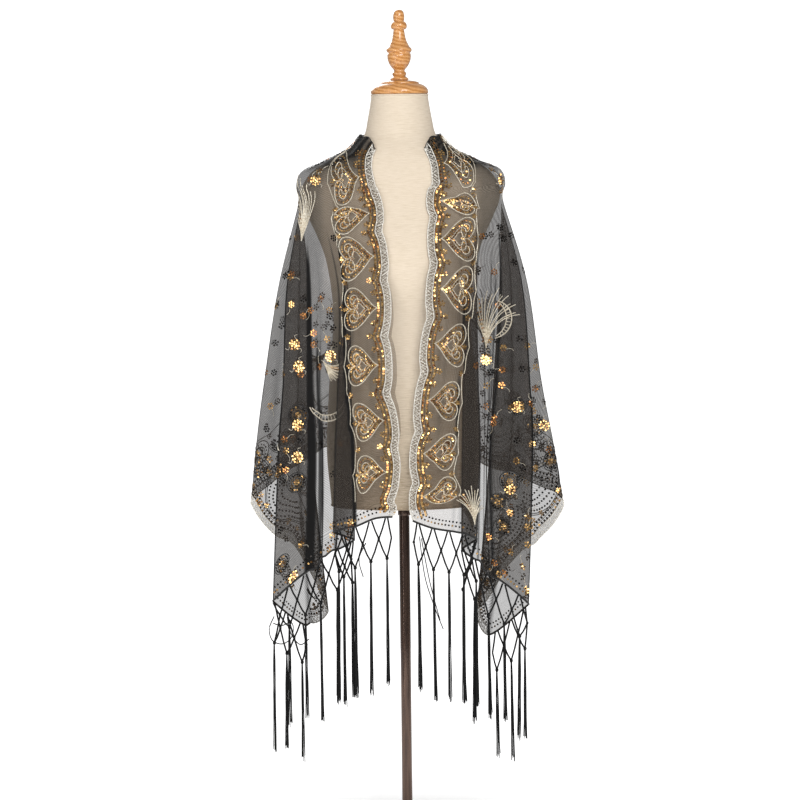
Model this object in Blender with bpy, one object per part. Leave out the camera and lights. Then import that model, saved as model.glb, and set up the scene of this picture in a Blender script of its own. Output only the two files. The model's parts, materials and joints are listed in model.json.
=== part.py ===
"""Evening stole of embroidered net, hung like a cape on a dress form without limbs.

Metres, +Z up. The front faces -Y, and the origin is the middle of the foot's underside.
The stole is one rectangle of cloth. Its long inner edge runs from one front opening round
the back of the neck to the other, and its short ends hang in front with a knotted fringe.
"""
import math
import random

import bpy
from mathutils import Vector

# Cloth
CLOTH_WALL = 0.0012      # thickness of the built cloth
FORM_GAP = 0.0013        # free space between the cloth and the form it rests on
SEAM_GAP = 0.00034       # free space between two stretches of the cloth
SCALLOP_PITCH = 0.110    # length of one scallop of the long edges
SCALLOP_DEPTH = 0.008

# Heights of the levels at which the folds are given
NECK_Z = 1.444
ARM_Z = 1.315            # below this the cloth leaves the form
CHEST_Z = 1.144
WAIST_Z = 0.945
HIP_Z = 0.802

# Fringe
TASSEL_PITCH = 0.031     # along the hem as seen from above, from one tassel to the next
KNOT_DROP = 0.041        # from the hem to the first knots, and on to the second
FRINGE_LENGTH = 0.320
FRINGE_SPREAD = 0.018    # tassels end this much higher or lower
TASSEL_RAGGED = 0.006    # and each of a tassel's cords again
HEM_END = 0.003          # left free at each end of a hem
NEAR = 0.0015            # how far to each side a hem's direction is taken
HEADING_HEIGHT = 0.005
HEADING_WALL = 0.0016
HEADING_GAP = 0.0005     # free space between the hem and the heading strip
CORD_WIDTH = 0.0018
TASSEL_WIDTH = 0.0026
STRAND_APART = 0.0024    # from a knot's middle to each of the two cords that meet there
ROOT_FROM_BEND = 0.0012  # a cord's root keeps this far from a corner of the strip
KNOT_FROM_TURN = 0.002   # no cord reaches round a sharp fold of the hem
FRINGE_LEAN = 0.0035     # the cords hang this far in front of the hem

# Stand
TORSO_BOTTOM_Z = 0.689
TORSO_TOP_Z = 1.529
FACE_GAP = 0.0003        # between pieces that rest on each other
POLE_RADIUS = 0.0108
FOOT_RADIUS = 0.170
FOOT_HEIGHT = 0.012
FOOT_EDGE = 0.003

# The torso's elliptical sections, from the hem up to the neck
#        height  half width  front  back
TORSO = ((TORSO_BOTTOM_Z, 0.149, 0.106, 0.110),
         (0.800, 0.157, 0.114, 0.120),
         (0.945, 0.150, 0.106, 0.105),
         (1.070, 0.140, 0.100, 0.090),
         (1.144, 0.145, 0.116, 0.098),
         (1.198, 0.155, 0.124, 0.104),
         (1.239, 0.170, 0.118, 0.106),
         (1.284, 0.190, 0.106, 0.104),
         (1.315, 0.202, 0.098, 0.100),
         (1.345, 0.200, 0.092, 0.095),
         (1.374, 0.180, 0.086, 0.090),
         (1.397, 0.145, 0.080, 0.084),
         (1.415, 0.106, 0.074, 0.078),
         (1.444, 0.0745, 0.062, 0.066),
         (1.480, 0.0650, 0.058, 0.061),
         (TORSO_TOP_Z, 0.0575, 0.056, 0.058))
# Heights at which the cloth lies on the shoulders, and its extra distance from the form there
SHOULDERS = ((NECK_Z, 0.0040), (1.415, 0.0012), (1.397, 0.0), (1.374, 0.0), (1.345, 0.0010),
             (ARM_Z, 0.0030))
HANG_GAP = 0.0032        # extra distance from the form below the arm height

# Folds of the cloth from a front opening to the middle of the back. Each falls from the
# neck at one angle round the form (0 is the front, 180 the back), passes the arm height at
# a second angle, and then hangs at its distances out to the side and towards the front.
#   fold            neck arm  | out: chest  waist   hip     hem   | forward: chest hem | hem height
LEFT = (
    ("opening",      40, 10.5, 0.0220, 0.0152, 0.0125, 0.0170,  0.128,  0.134, 0.679),
    ("panel",        55, 22.0, 0.0610, 0.0590, 0.0586, 0.0580,  0.130,  0.144, 0.677),
    ("pleat_front",  68, 36.0, 0.0980, 0.1040, 0.1017, 0.0990,  0.119,  0.136, 0.660),
    ("pleat_edge",   74, 44.0, 0.1200, 0.1310, 0.1386, 0.1445,  0.111,  0.125, 0.648),
    ("pleat_return", 78, 49.0, 0.1080, 0.1040, 0.1000, 0.1000,  0.104,  0.113, 0.631),
    ("pleat_back",   82, 54.0, 0.1280, 0.1310, 0.1386, 0.1410,  0.096,  0.101, 0.609),
    ("gap",          87, 62.0, 0.1570, 0.1595, 0.1590, 0.1657,  0.085,  0.093, 0.594),
    ("stack",        92, 70.0, 0.1820, 0.1820, 0.1796, 0.1863,  0.070,  0.090, 0.569),
    ("front_fold",   97, 77.0, 0.2330, 0.2435, 0.2554, 0.2690,  0.052,  0.094, 0.505),
    ("corner",       99, 79.5, 0.2080, 0.2130, 0.2160, 0.1940,  0.035,  0.055, 0.446),
    ("under_fold",  101, 82.0, 0.1880, 0.1880, 0.1878, 0.1580,  0.023,  0.037, 0.478),
    ("inner_wing",  105, 86.0, 0.2150, 0.2330, 0.2400, 0.2360,  0.011,  0.016, 0.612),
    ("side_fold",   110, 92.0, 0.2515, 0.2845, 0.3026, 0.3160, -0.010, -0.010, 0.685),
    ("back_wing",   128, 113., 0.2100, 0.2200, 0.2400, 0.2480, -0.060, -0.066, 0.747),
    ("back_panel",  150, 143., 0.1200, 0.1300, 0.1400, 0.1530, -0.108, -0.128, 0.796),
    ("middle_back", 180, 180., 0.0000, 0.0000, 0.0000, 0.0000, -0.122, -0.142, 0.833))
RIGHT = (
    ("opening",      36, 14.5, 0.0488, 0.0260, 0.0121, 0.0095,  0.127,  0.134, 0.673),
    ("panel",        52, 27.0, 0.0888, 0.0763, 0.0664, 0.0564,  0.126,  0.144, 0.656),
    ("pleat_front",  68, 42.0, 0.1320, 0.1224, 0.1177, 0.1100,  0.105,  0.132, 0.645),
    ("pleat_edge",   74, 50.0, 0.1523, 0.1531, 0.1556, 0.1466,  0.092,  0.120, 0.630),
    ("pleat_return", 78, 54.0, 0.1340, 0.1214, 0.1177, 0.1140,  0.084,  0.108, 0.608),
    ("pleat_back",   82, 59.0, 0.1500, 0.1520, 0.1546, 0.1486,  0.076,  0.096, 0.584),
    ("gap",          87, 65.0, 0.1750, 0.1726, 0.1670, 0.1630,  0.070,  0.089, 0.560),
    ("stack",        92, 71.0, 0.2005, 0.1890, 0.1750, 0.1790,  0.063,  0.087, 0.548),
    ("front_fold",   97, 77.0, 0.2446, 0.2587, 0.2632, 0.2515,  0.048,  0.090, 0.492),
    ("corner",       99, 79.5, 0.2220, 0.2220, 0.2180, 0.1687,  0.032,  0.051, 0.424),
    ("under_fold",  101, 82.0, 0.1995, 0.1850, 0.1760, 0.1500,  0.021,  0.034, 0.474),
    ("inner_wing",  105, 86.0, 0.2280, 0.2300, 0.2386, 0.2550,  0.010,  0.014, 0.600),
    ("side_fold",   110, 92.0, 0.2570, 0.2843, 0.3083, 0.3294, -0.010, -0.010, 0.683),
    ("back_wing",   128, 113., 0.2120, 0.2200, 0.2400, 0.2400, -0.060, -0.066, 0.737),
    ("back_panel",  150, 143., 0.1200, 0.1300, 0.1450, 0.1680, -0.108, -0.124, 0.757),
    ("middle_back", 180, 180., 0.0000, 0.0000, 0.0000, 0.0000, -0.122, -0.142, 0.833))

# Columns of points from each fold towards the next, opening to middle back, closer at sharp folds
FOLD_COLUMNS = ((0, 0.33, 0.67), (0, 0.5), (0, 0.5, 0.85), (0, 0.15, 0.5, 0.85), (0, 0.15, 0.5),
                (0, 0.5), (0, 0.5), (0, 0.35, 0.7, 0.92), (0, 0.11, 0.5), (0, 0.5, 0.8),
                (0, 0.2, 0.55), (0, 0.35, 0.7, 0.9), (0, 0.1, 0.35, 0.7), (0, 0.33, 0.67),
                (0, 0.25, 0.5, 0.75))
STACK = 7                # index of the fold where the front stretch ends
CORNER = 9               # the cloth's corner, where the short end meets the outer long edge
BACK_PANEL = 14          # the fold where the wing ends
TURNS = (3, 4, 8)        # the folds at which the short end turns back on itself
FIRST_SHARP = 2          # the folds from here to the side fold turn sharply
LAST_SHARP = 12
# Rows of faces from each level to the next, neck to hem
LEVEL_STEPS = (1, 1, 1, 1, 1, 3, 4, 3, 5)

# Turned profiles: (radius, height), from the bottom up
CAP_PROFILE = ((0.0570, 1.5293), (0.0584, 1.5340), (0.0575, 1.5385), (0.0540, 1.5435),
               (0.0478, 1.5475), (0.0400, 1.5505), (0.0390, 1.5530), (0.0290, 1.5560),
               (0.0150, 1.5570))
FINIAL_PROFILE = ((0.0180, 1.5573), (0.0187, 1.5600), (0.0150, 1.5635), (0.0125, 1.5655),
                  (0.0137, 1.5680), (0.0137, 1.5730), (0.0118, 1.5750), (0.0108, 1.5770),
                  (0.0128, 1.5800), (0.0175, 1.5860), (0.0215, 1.5935), (0.0238, 1.6020),
                  (0.0238, 1.6090), (0.0226, 1.6125), (0.0245, 1.6150), (0.0259, 1.6180),
                  (0.0250, 1.6215), (0.0215, 1.6245), (0.0180, 1.6310), (0.0145, 1.6390),
                  (0.0122, 1.6500), (0.0108, 1.6590), (0.0145, 1.6610), (0.0166, 1.6670),
                  (0.0145, 1.6735), (0.0108, 1.6765), (0.0110, 1.6900), (0.0095, 1.6950),
                  (0.0060, 1.6985))
FINIAL_TOP_Z = 1.700


def through(points, place):
    """A point on the smooth curve that passes through the given points, at a place from 0."""
    last = len(points) - 1
    step = min(int(place), last - 1)
    part = place - step
    before = points[max(step - 1, 0)]
    start = points[step]
    end = points[step + 1]
    after = points[min(step + 2, last)]
    values = []
    for a, b, c, d in zip(before, start, end, after):
        bend = 2 * a - 5 * b + 4 * c - d
        twist = 3 * b - a - 3 * c + d
        values.append(b + 0.5 * part * (c - a + part * (bend + part * twist)))
    return values


def torso_section(height):
    """Half width, front depth and back depth of the torso at a height."""
    for index in range(len(TORSO) - 1):
        if height <= TORSO[index + 1][0]:
            break
    low = TORSO[index][0]
    high = TORSO[index + 1][0]
    part = max(0.0, (height - low) / (high - low))
    return through([row[1:] for row in TORSO], index + part)


def torso_point(degrees, height):
    """A point of the torso's surface. Degrees run from the front towards +X."""
    half_width, front, back = torso_section(height)
    turn = math.radians(degrees)
    depth = front if math.cos(turn) > 0 else back
    return Vector((half_width * math.sin(turn), -depth * math.cos(turn), height))


def on_torso(degrees, height, lift):
    """A point that stands off the torso's surface by the lift."""
    small = 0.5
    rise = 0.002
    around = torso_point(degrees + small, height) - torso_point(degrees - small, height)
    upward = torso_point(degrees, height + rise) - torso_point(degrees, height - rise)
    return torso_point(degrees, height) + around.cross(upward).normalized() * lift


def clear_of_torso(point, lift):
    """Moves a point of the cloth outwards until it stands off the torso by the lift."""
    if point.z < TORSO_BOTTOM_Z or point.z > ARM_Z:
        return point
    half_width, front, back = torso_section(point.z)
    depth = front if point.y < 0 else back
    reach = math.hypot(point.x / (half_width + lift), point.y / (depth + lift))
    if reach >= 1:
        return point
    return Vector((point.x / reach, point.y / reach, point.z))


def fold_levels(row, side, lift):
    """The points where one fold passes each level, neck to hem. Side is -1 left, 1 right."""
    name, neck, arm, chest_x, waist_x, hip_x, hem_x, chest_y, hem_y, hem_z = row
    points = []
    for height, extra in SHOULDERS:
        ease = math.sqrt((NECK_Z - height) / (NECK_Z - ARM_Z))
        points.append(on_torso(side * (neck + (arm - neck) * ease), height, lift + extra))
    hip_z = max(HIP_Z, (WAIST_Z + hem_z) / 2)
    for out, height in ((chest_x, CHEST_Z), (waist_x, WAIST_Z), (hip_x, hip_z), (hem_x, hem_z)):
        part = (CHEST_Z - height) / (CHEST_Z - hem_z)
        forward = chest_y + (hem_y - chest_y) * part
        points.append(Vector((side * out, -forward, height)))
    return points


def down_places():
    """Places down a fold, with equal steps from each level to the next."""
    places = [index + step / count for index, count in enumerate(LEVEL_STEPS) for step in range(count)]
    return places + [len(LEVEL_STEPS)]


def across_places():
    """Places across the folds, from the left opening to the right one."""
    half = [index + part for index, parts in enumerate(FOLD_COLUMNS) for part in parts]
    middle = len(FOLD_COLUMNS)
    return half + [middle] + [2 * middle - place for place in reversed(half)]


def column_of(fold):
    """The column of points that lies on a fold of the left side."""
    return sum(len(parts) for parts in FOLD_COLUMNS[:fold])


def notch(length):
    """How deep a scalloped edge is cut at a length along it: most at each scallop's end."""
    return SCALLOP_DEPTH * (1 - abs(math.sin(math.pi * length / SCALLOP_PITCH))) ** 1.5


def across_folds(points, place):
    """A point between the folds at one level. The cloth turns level round each sharp fold."""
    values = through(points, place)
    from_end = min(place, len(points) - 1 - place)
    if FIRST_SHARP <= from_end < LAST_SHARP:
        step = int(place)
        part = place - step
        ease = part * part * (3 - 2 * part)
        values[2] = points[step].z + (points[step + 1].z - points[step].z) * ease
    return values


def cloth_grid():
    """The cloth's middle surface: columns from the left opening round the back to the right."""
    lift = FORM_GAP + CLOTH_WALL / 2
    folds = [fold_levels(row, -1, lift) for row in LEFT]
    folds += [fold_levels(row, 1, lift) for row in reversed(RIGHT[:-1])]
    columns = []
    for across in across_places():
        levels = [across_folds([fold[level] for fold in folds], across) for level in range(len(folds[0]))]
        rows = [Vector(through(levels, down)) for down in down_places()]
        columns.append([clear_of_torso(point, lift + HANG_GAP) for point in rows])
    scallop_openings(columns)
    scallop_outer_edge(columns)
    return columns


def scallop_openings(columns):
    """Cuts the scallops of the inner long edge into both openings."""
    for edge, inner in ((columns[0], columns[1]), (columns[-1], columns[-2])):
        length = 0.0
        for row in range(1, len(edge)):
            length += (edge[row] - edge[row - 1]).length
            inward = (inner[row] - edge[row]).normalized()
            edge[row] = edge[row] + inward * notch(length)


def scallop_outer_edge(columns):
    """Cuts the scallops of the outer long edge, from one rounded corner to the other."""
    first = column_of(CORNER)
    last = len(columns) - 1 - first
    length = 0.0
    previous = columns[first][-1].copy()
    for column in columns[first + 1:last]:
        length += (column[-1] - previous).length
        previous = column[-1].copy()
        upward = (column[-2] - column[-1]).normalized()
        column[-1] = column[-1] + upward * notch(length)


def wall_normals(columns):
    """The outward direction at each point of the cloth."""
    normals = []
    for index, column in enumerate(columns):
        left = columns[max(index - 1, 0)]
        right = columns[min(index + 1, len(columns) - 1)]
        line = []
        for row in range(len(column)):
            around = right[row] - left[row]
            downward = column[min(row + 1, len(column) - 1)] - column[max(row - 1, 0)]
            line.append(around.cross(downward).normalized())
        normals.append(line)
    return normals


def colour_material(name, colour, roughness, metallic=0.0):
    material = bpy.data.materials.new(name)
    material.use_nodes = True
    shader = material.node_tree.nodes["Principled BSDF"]
    shader.inputs["Base Color"].default_value = (*colour, 1.0)
    shader.inputs["Roughness"].default_value = roughness
    shader.inputs["Metallic"].default_value = metallic
    return material


def add_piece(name, points, faces, material):
    mesh = bpy.data.meshes.new(name)
    mesh.from_pydata([tuple(point) for point in points], [], faces)
    mesh.materials.append(material)
    mesh.validate()
    piece = bpy.data.objects.new(name, mesh)
    bpy.context.scene.collection.objects.link(piece)
    mesh.shade_smooth()
    mesh.set_sharp_from_angle(angle=math.radians(40))
    return piece


def cloth_piece(name, columns, normals, first, last, seams, material):
    """One stretch of the cloth, from a first to a last column, as a wall with closed rims."""
    middle = [list(column) for column in columns[first:last + 1]]
    for edge, inner, is_seam in ((0, 1, seams[0]), (-1, -2, seams[1])):
        if is_seam:
            pairs = zip(middle[edge], middle[inner])
            middle[edge] = [a + (b - a).normalized() * SEAM_GAP / 2 for a, b in pairs]
    rows = len(middle[0])
    count = len(middle)
    half = CLOTH_WALL / 2
    points = []
    for side in (1, -1):
        for offset, column in enumerate(middle):
            line = normals[first + offset]
            points += [point + normal * half * side for point, normal in zip(column, line)]

    def corner(side, column, row):
        return (side * count + column) * rows + row

    faces = []
    for column in range(count - 1):
        for row in range(rows - 1):
            outer = [corner(0, column, row), corner(0, column + 1, row),
                     corner(0, column + 1, row + 1), corner(0, column, row + 1)]
            faces.append(outer)
            faces.append([index + count * rows for index in reversed(outer)])
    for column in range(count - 1):
        for row, order in ((0, 1), (rows - 1, -1)):
            rim = [corner(0, column, row), corner(1, column, row),
                   corner(1, column + 1, row), corner(0, column + 1, row)]
            faces.append(rim[::order])
    for row in range(rows - 1):
        for column, order in ((0, -1), (count - 1, 1)):
            rim = [corner(0, column, row), corner(1, column, row),
                   corner(1, column, row + 1), corner(0, column, row + 1)]
            faces.append(rim[::order])
    return add_piece(name, points, faces, material)


def level_distance(start, end):
    """The distance between two points as seen from above."""
    return math.hypot(end.x - start.x, end.y - start.y)


def along(points, length):
    """The point of a hem at a length along it, as seen from above."""
    for start, end in zip(points, points[1:]):
        step = level_distance(start, end)
        if length <= step or end is points[-1]:
            return start.lerp(end, length / step)
        length -= step


def clear_of_bends(hem, bends, middle):
    """The tassel's place nearest to the wanted one where its cords hang apart, off the hem's bends."""
    for step in range(40):
        for place in (middle + step * 0.0002, middle - step * 0.0002):
            roots = (place - STRAND_APART, place + STRAND_APART)
            apart = level_distance(along(hem, roots[0]), along(hem, roots[1]))
            off_bends = all(abs(bend - root) > ROOT_FROM_BEND for bend in bends for root in roots)
            if off_bends and apart > 1.8 * STRAND_APART:
                return place
    return middle


def fringe_piece(name, hem, turn_columns, seed, material):
    """A heading strip along a hem with two cords a tassel, which part and meet at the knots."""
    rng = random.Random(seed)
    bends = [0.0]
    for start, end in zip(hem, hem[1:]):
        bends.append(bends[-1] + level_distance(start, end))
    total = bends[-1]
    count = int((total - 2 * HEM_END) / TASSEL_PITCH)
    pitch = (total - 2 * HEM_END) / count
    drops = [FRINGE_LENGTH + rng.uniform(-FRINGE_SPREAD, FRINGE_SPREAD) for _ in range(count)]
    roots = []
    tassels = []
    for index in range(count):
        wanted = HEM_END + pitch * (index + 0.5)
        middle = clear_of_bends(hem, bends, wanted)
        tassels.append(middle)
        roots += [(middle + direction * STRAND_APART, direction, index) for direction in (-1, 1)]
    edges = [place + side * CORD_WIDTH / 2 for place, _, _ in roots for side in (-1, 1)]
    lengths = sorted(bends + edges)

    points = []
    faces = []
    rise = Vector((0, 0, 1))
    for length in lengths:
        middle = along(hem, length)
        ahead = along(hem, min(length + NEAR, total)) - along(hem, max(length - NEAR, 0))
        outward = rise.cross(ahead).normalized() * HEADING_WALL / 2
        top = middle - rise * (HEADING_GAP + CLOTH_WALL / 2)
        bottom = top - rise * HEADING_HEIGHT
        points += [top + outward, top - outward, bottom - outward, bottom + outward]
    places = [0.0] + tassels + [total]
    root_starts = {round(place - CORD_WIDTH / 2, 6): index for index, (place, _, _) in enumerate(roots)}
    for index, length in enumerate(lengths[:-1]):
        here = index * 4
        there = here + 4
        faces += [[here, here + 1, there + 1, there], [here + 1, here + 2, there + 2, there + 1],
                  [here + 3, here, there, there + 3]]
        root = root_starts.get(round(length, 6))
        if root is None:
            faces.append([here + 2, here + 3, there + 3, there + 2])
            continue
        ring = [here + 2, here + 3, there + 3, there + 2]
        place, direction, tassel = roots[root]
        tangent = along(hem, place + NEAR) - along(hem, place - NEAR)
        outward = rise.cross(tangent).normalized()
        tangent = outward.cross(rise)
        lean = Vector((0, -FRINGE_LEAN, 0))
        neighbour = places[tassel + 1 + direction]
        knot_place = (tassels[tassel] + neighbour) / 2 - direction * STRAND_APART
        turns = [0.0] + [bends[column] for column in turn_columns] + [total]
        low = max(turn for turn in turns if turn < place) + KNOT_FROM_TURN
        high = min(turn for turn in turns if turn > place) - KNOT_FROM_TURN
        knot = along(hem, min(max(knot_place, low), high)) - rise * KNOT_DROP
        foot = along(hem, place) + lean
        meet = foot - rise * 2 * KNOT_DROP
        drop = drops[tassel] + rng.uniform(-TASSEL_RAGGED, TASSEL_RAGGED)
        end = foot - rise * drop
        route = ((knot + lean, CORD_WIDTH), (meet, TASSEL_WIDTH), (end, CORD_WIDTH))
        for centre, width in route:
            new = len(points)
            half = width / 2
            across = tangent * half
            points += [centre - across - outward * half, centre - across + outward * half,
                       centre + across + outward * half, centre + across - outward * half]
            following = [new, new + 1, new + 2, new + 3]
            for side in range(4):
                turn = (side + 1) % 4
                faces.append([ring[side], ring[turn], following[turn], following[side]])
            ring = following
        faces.append(ring)
    last = len(lengths) * 4 - 4
    faces.append([3, 2, 1, 0])
    faces.append([last, last + 1, last + 2, last + 3])
    return add_piece(name, points, faces, material)


def turned_piece(name, profile, tip, sides, material):
    """A turned solid from its profile of radii and heights, with an optional pointed tip."""
    points = []
    for radius, height in profile:
        for side in range(sides):
            turn = 2 * math.pi * side / sides
            points.append(Vector((radius * math.cos(turn), radius * math.sin(turn), height)))
    faces = [list(reversed(range(sides)))]
    for ring in range(len(profile) - 1):
        for side in range(sides):
            after = (side + 1) % sides
            low = ring * sides
            high = low + sides
            faces.append([low + side, low + after, high + after, high + side])
    top = (len(profile) - 1) * sides
    if tip is None:
        faces.append([top + side for side in range(sides)])
    else:
        points.append(Vector((0, 0, tip)))
        for side in range(sides):
            faces.append([top + side, top + (side + 1) % sides, len(points) - 1])
    return add_piece(name, points, faces, material)


def torso_piece(material):
    """The padded torso: elliptical rings from its flat underside to the flat top of the neck."""
    sides = 44
    heights = [row[0] for row in TORSO]
    levels = []
    for low, high in zip(heights, heights[1:]):
        steps = max(1, round((high - low) / 0.05))
        levels += [low + (high - low) * step / steps for step in range(steps)]
    levels.append(heights[-1])
    points = []
    for height in levels:
        points += [torso_point(360 * side / sides, height) for side in range(sides)]
    faces = [list(reversed(range(sides)))]
    for ring in range(len(levels) - 1):
        for side in range(sides):
            after = (side + 1) % sides
            low = ring * sides
            high = low + sides
            faces.append([low + side, low + after, high + after, high + side])
    top = (len(levels) - 1) * sides
    faces.append([top + side for side in range(sides)])
    return add_piece("form_torso", points, faces, material)


def build_stole():
    net = colour_material("black_net", (0.020, 0.019, 0.018), 0.75)
    cord = colour_material("fringe_cord", (0.006, 0.006, 0.006), 0.55)
    columns = cloth_grid()
    normals = wall_normals(columns)
    end = len(columns) - 1
    stack = column_of(STACK)
    panel = column_of(BACK_PANEL)
    corner = column_of(CORNER)
    stretches = (("stole_front_left", 0, stack, (False, True)),
                 ("stole_wing_left", stack, panel, (True, True)),
                 ("stole_back", panel, end - panel, (True, True)),
                 ("stole_wing_right", end - panel, end - stack, (True, True)),
                 ("stole_front_right", end - stack, end, (True, False)))
    for name, first, last, seams in stretches:
        cloth_piece(name, columns, normals, first, last, seams, net)
    hem = [column[-1] for column in columns]
    turns = [column_of(fold) for fold in TURNS]
    fringe_piece("fringe_left", hem[:corner + 1], turns, 3, cord)
    fringe_piece("fringe_right", hem[end - corner:], [corner - turn for turn in reversed(turns)], 8, cord)


def build_form():
    linen = colour_material("cream_linen", (0.78, 0.70, 0.58), 0.85)
    wood = colour_material("turned_wood", (0.58, 0.25, 0.08), 0.35)
    metal = colour_material("dark_metal", (0.045, 0.028, 0.020), 0.40, 0.9)
    torso_piece(linen)
    turned_piece("form_neck_cap", CAP_PROFILE, None, 32, wood)
    turned_piece("form_finial", FINIAL_PROFILE, FINIAL_TOP_Z, 16, wood)
    pole = ((POLE_RADIUS, FOOT_HEIGHT + FACE_GAP), (POLE_RADIUS, TORSO_BOTTOM_Z - FACE_GAP))
    turned_piece("form_pole", pole, None, 20, metal)
    foot = ((FOOT_RADIUS, 0.0), (FOOT_RADIUS, FOOT_HEIGHT - FOOT_EDGE),
            (FOOT_RADIUS - FOOT_EDGE, FOOT_HEIGHT))
    turned_piece("form_base", foot, None, 48, metal)


for item in list(bpy.data.objects):
    bpy.data.objects.remove(item, do_unlink=True)
build_form()
build_stole()
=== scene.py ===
import json
import math
import random

import bpy
import numpy as np
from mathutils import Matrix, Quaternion, Vector
from mathutils.bvhtree import BVHTree

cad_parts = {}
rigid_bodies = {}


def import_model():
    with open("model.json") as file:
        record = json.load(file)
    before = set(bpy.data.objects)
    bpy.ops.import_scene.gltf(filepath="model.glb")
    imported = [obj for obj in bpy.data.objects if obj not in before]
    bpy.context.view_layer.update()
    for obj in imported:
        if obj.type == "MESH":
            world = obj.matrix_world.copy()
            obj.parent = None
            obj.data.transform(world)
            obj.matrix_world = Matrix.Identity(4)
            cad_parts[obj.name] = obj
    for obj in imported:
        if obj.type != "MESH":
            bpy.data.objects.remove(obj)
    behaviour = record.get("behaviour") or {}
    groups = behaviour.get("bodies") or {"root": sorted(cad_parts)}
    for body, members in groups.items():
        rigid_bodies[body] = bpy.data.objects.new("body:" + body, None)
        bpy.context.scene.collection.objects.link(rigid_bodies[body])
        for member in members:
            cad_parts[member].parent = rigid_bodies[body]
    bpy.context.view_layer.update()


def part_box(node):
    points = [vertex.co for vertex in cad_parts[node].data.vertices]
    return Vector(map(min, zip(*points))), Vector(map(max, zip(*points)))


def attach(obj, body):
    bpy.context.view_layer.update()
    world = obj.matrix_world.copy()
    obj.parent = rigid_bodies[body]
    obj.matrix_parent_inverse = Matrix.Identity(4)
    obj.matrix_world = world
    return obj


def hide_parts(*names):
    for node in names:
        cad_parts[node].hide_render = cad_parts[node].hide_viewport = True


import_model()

# Foot of the stand
# A round steel plate with a turned rim and a short hub for the pole, bronzed and lacquered.
# It lies flat on the floor and carries the pole in its middle.
FOOT_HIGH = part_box("form_base")[1]
FOOT_RADIUS = FOOT_HIGH.x
FOOT_HEIGHT = FOOT_HIGH.z
HUB_RADIUS = 0.019
TURNED_SIDES = 96


def deselect_all():
    for item in bpy.data.objects:
        item.select_set(False)


def turned(name, profile, sides):
    """Turns a closed piece from its (radius, height) points, from the bottom up."""
    deselect_all()
    radius, height = profile[0]
    bpy.ops.mesh.primitive_circle_add(vertices=sides, radius=radius, fill_type="NGON",
                                      location=(0, 0, height))
    piece = bpy.context.object
    piece.name = name
    bpy.ops.object.transform_apply(location=True, rotation=True, scale=True)
    bpy.ops.object.mode_set(mode="EDIT")
    bpy.ops.mesh.select_all(action="SELECT")
    for next_radius, next_height in profile[1:]:
        bpy.ops.mesh.extrude_region_move(
            TRANSFORM_OT_translate={"value": (0, 0, next_height - height)})
        scale = next_radius / radius
        bpy.ops.transform.resize(value=(scale, scale, 1), center_override=(0, 0, next_height))
        radius, height = next_radius, next_height
    bpy.ops.mesh.select_all(action="SELECT")
    bpy.ops.mesh.normals_make_consistent(inside=False)
    bpy.ops.object.mode_set(mode="OBJECT")
    bpy.ops.object.shade_smooth_by_angle(angle=math.radians(35))
    return piece


def rgb(code):
    """An sRGB hex colour as the linear colour of Blender's sockets."""
    parts = [int(code[place:place + 2], 16) / 255 for place in (1, 3, 5)]
    return [p / 12.92 if p <= 0.04045 else ((p + 0.055) / 1.055) ** 2.4 for p in parts] + [1.0]


def finish(name, **values):
    """A new material, with constant values on its shader's own sockets."""
    material = bpy.data.materials.new(name)
    material.use_nodes = True
    shader = material.node_tree.nodes["Principled BSDF"]
    for socket, value in values.items():
        shader.inputs[socket.replace("_", " ")].default_value = value
    return material


def add_node(material, kind, values, into=None):
    """Adds a node. A value sets a property or socket, or is the output to link; into is a shader socket."""
    tree = material.node_tree
    new = tree.nodes.new(kind)
    for name, value in values.items():
        if name == "stops":
            for index, (place, code) in enumerate(value):
                stop = new.color_ramp.elements[index] if index < 2 else new.color_ramp.elements.new(place)
                stop.position = place
                stop.color = rgb(code)
        elif isinstance(value, bpy.types.NodeSocket):
            tree.links.new(value, new.inputs[name])
        elif isinstance(name, int) or name in new.inputs:
            new.inputs[name].default_value = value
        else:
            setattr(new, name, value)
    if into:
        out = next(socket for socket in new.outputs if socket.enabled)
        tree.links.new(out, tree.nodes["Principled BSDF"].inputs[into])
    return new


def dress(piece, material, slot, *nodes):
    """Gives a finished piece its material and body and hides the CAD nodes that it stands for. The slot is
    not used.
    """
    piece.data.materials.clear()
    piece.data.materials.append(material)
    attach(piece, "root")
    if nodes:
        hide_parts(*nodes)
    return piece


def bronzed_steel():
    """Lacquered steel: dark brown, a soft metallic gloss, slightly uneven under the lacquer."""
    steel = finish("bronzed_lacquered_steel", Metallic=0.85, Roughness=0.17, Coat_Weight=0.4,
                   Coat_Roughness=0.06)
    place = add_node(steel, "ShaderNodeTexCoord", {}).outputs["Object"]
    # drawn marks run up and down, 15 mm long
    drawn = add_node(steel, "ShaderNodeMapping", {"Vector": place, "Scale": (220.0, 220.0, 12.0)})
    blotch = add_node(steel, "ShaderNodeTexNoise", {"Vector": drawn.outputs["Vector"], "Scale": 1.0,
                                                    "Detail": 3.0})
    add_node(steel, "ShaderNodeValToRGB", {"Fac": blotch.outputs["Fac"],
                                           "stops": ((0.30, "#3B2C25"), (0.72, "#5C473B"))}, "Base Color")
    grain = add_node(steel, "ShaderNodeTexNoise", {"Vector": place, "Scale": 900.0, "Detail": 2.0})
    add_node(steel, "ShaderNodeBump", {"Height": grain.outputs["Fac"], "Strength": 0.05,
                                       "Distance": 0.0004}, "Normal")
    return steel


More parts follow.
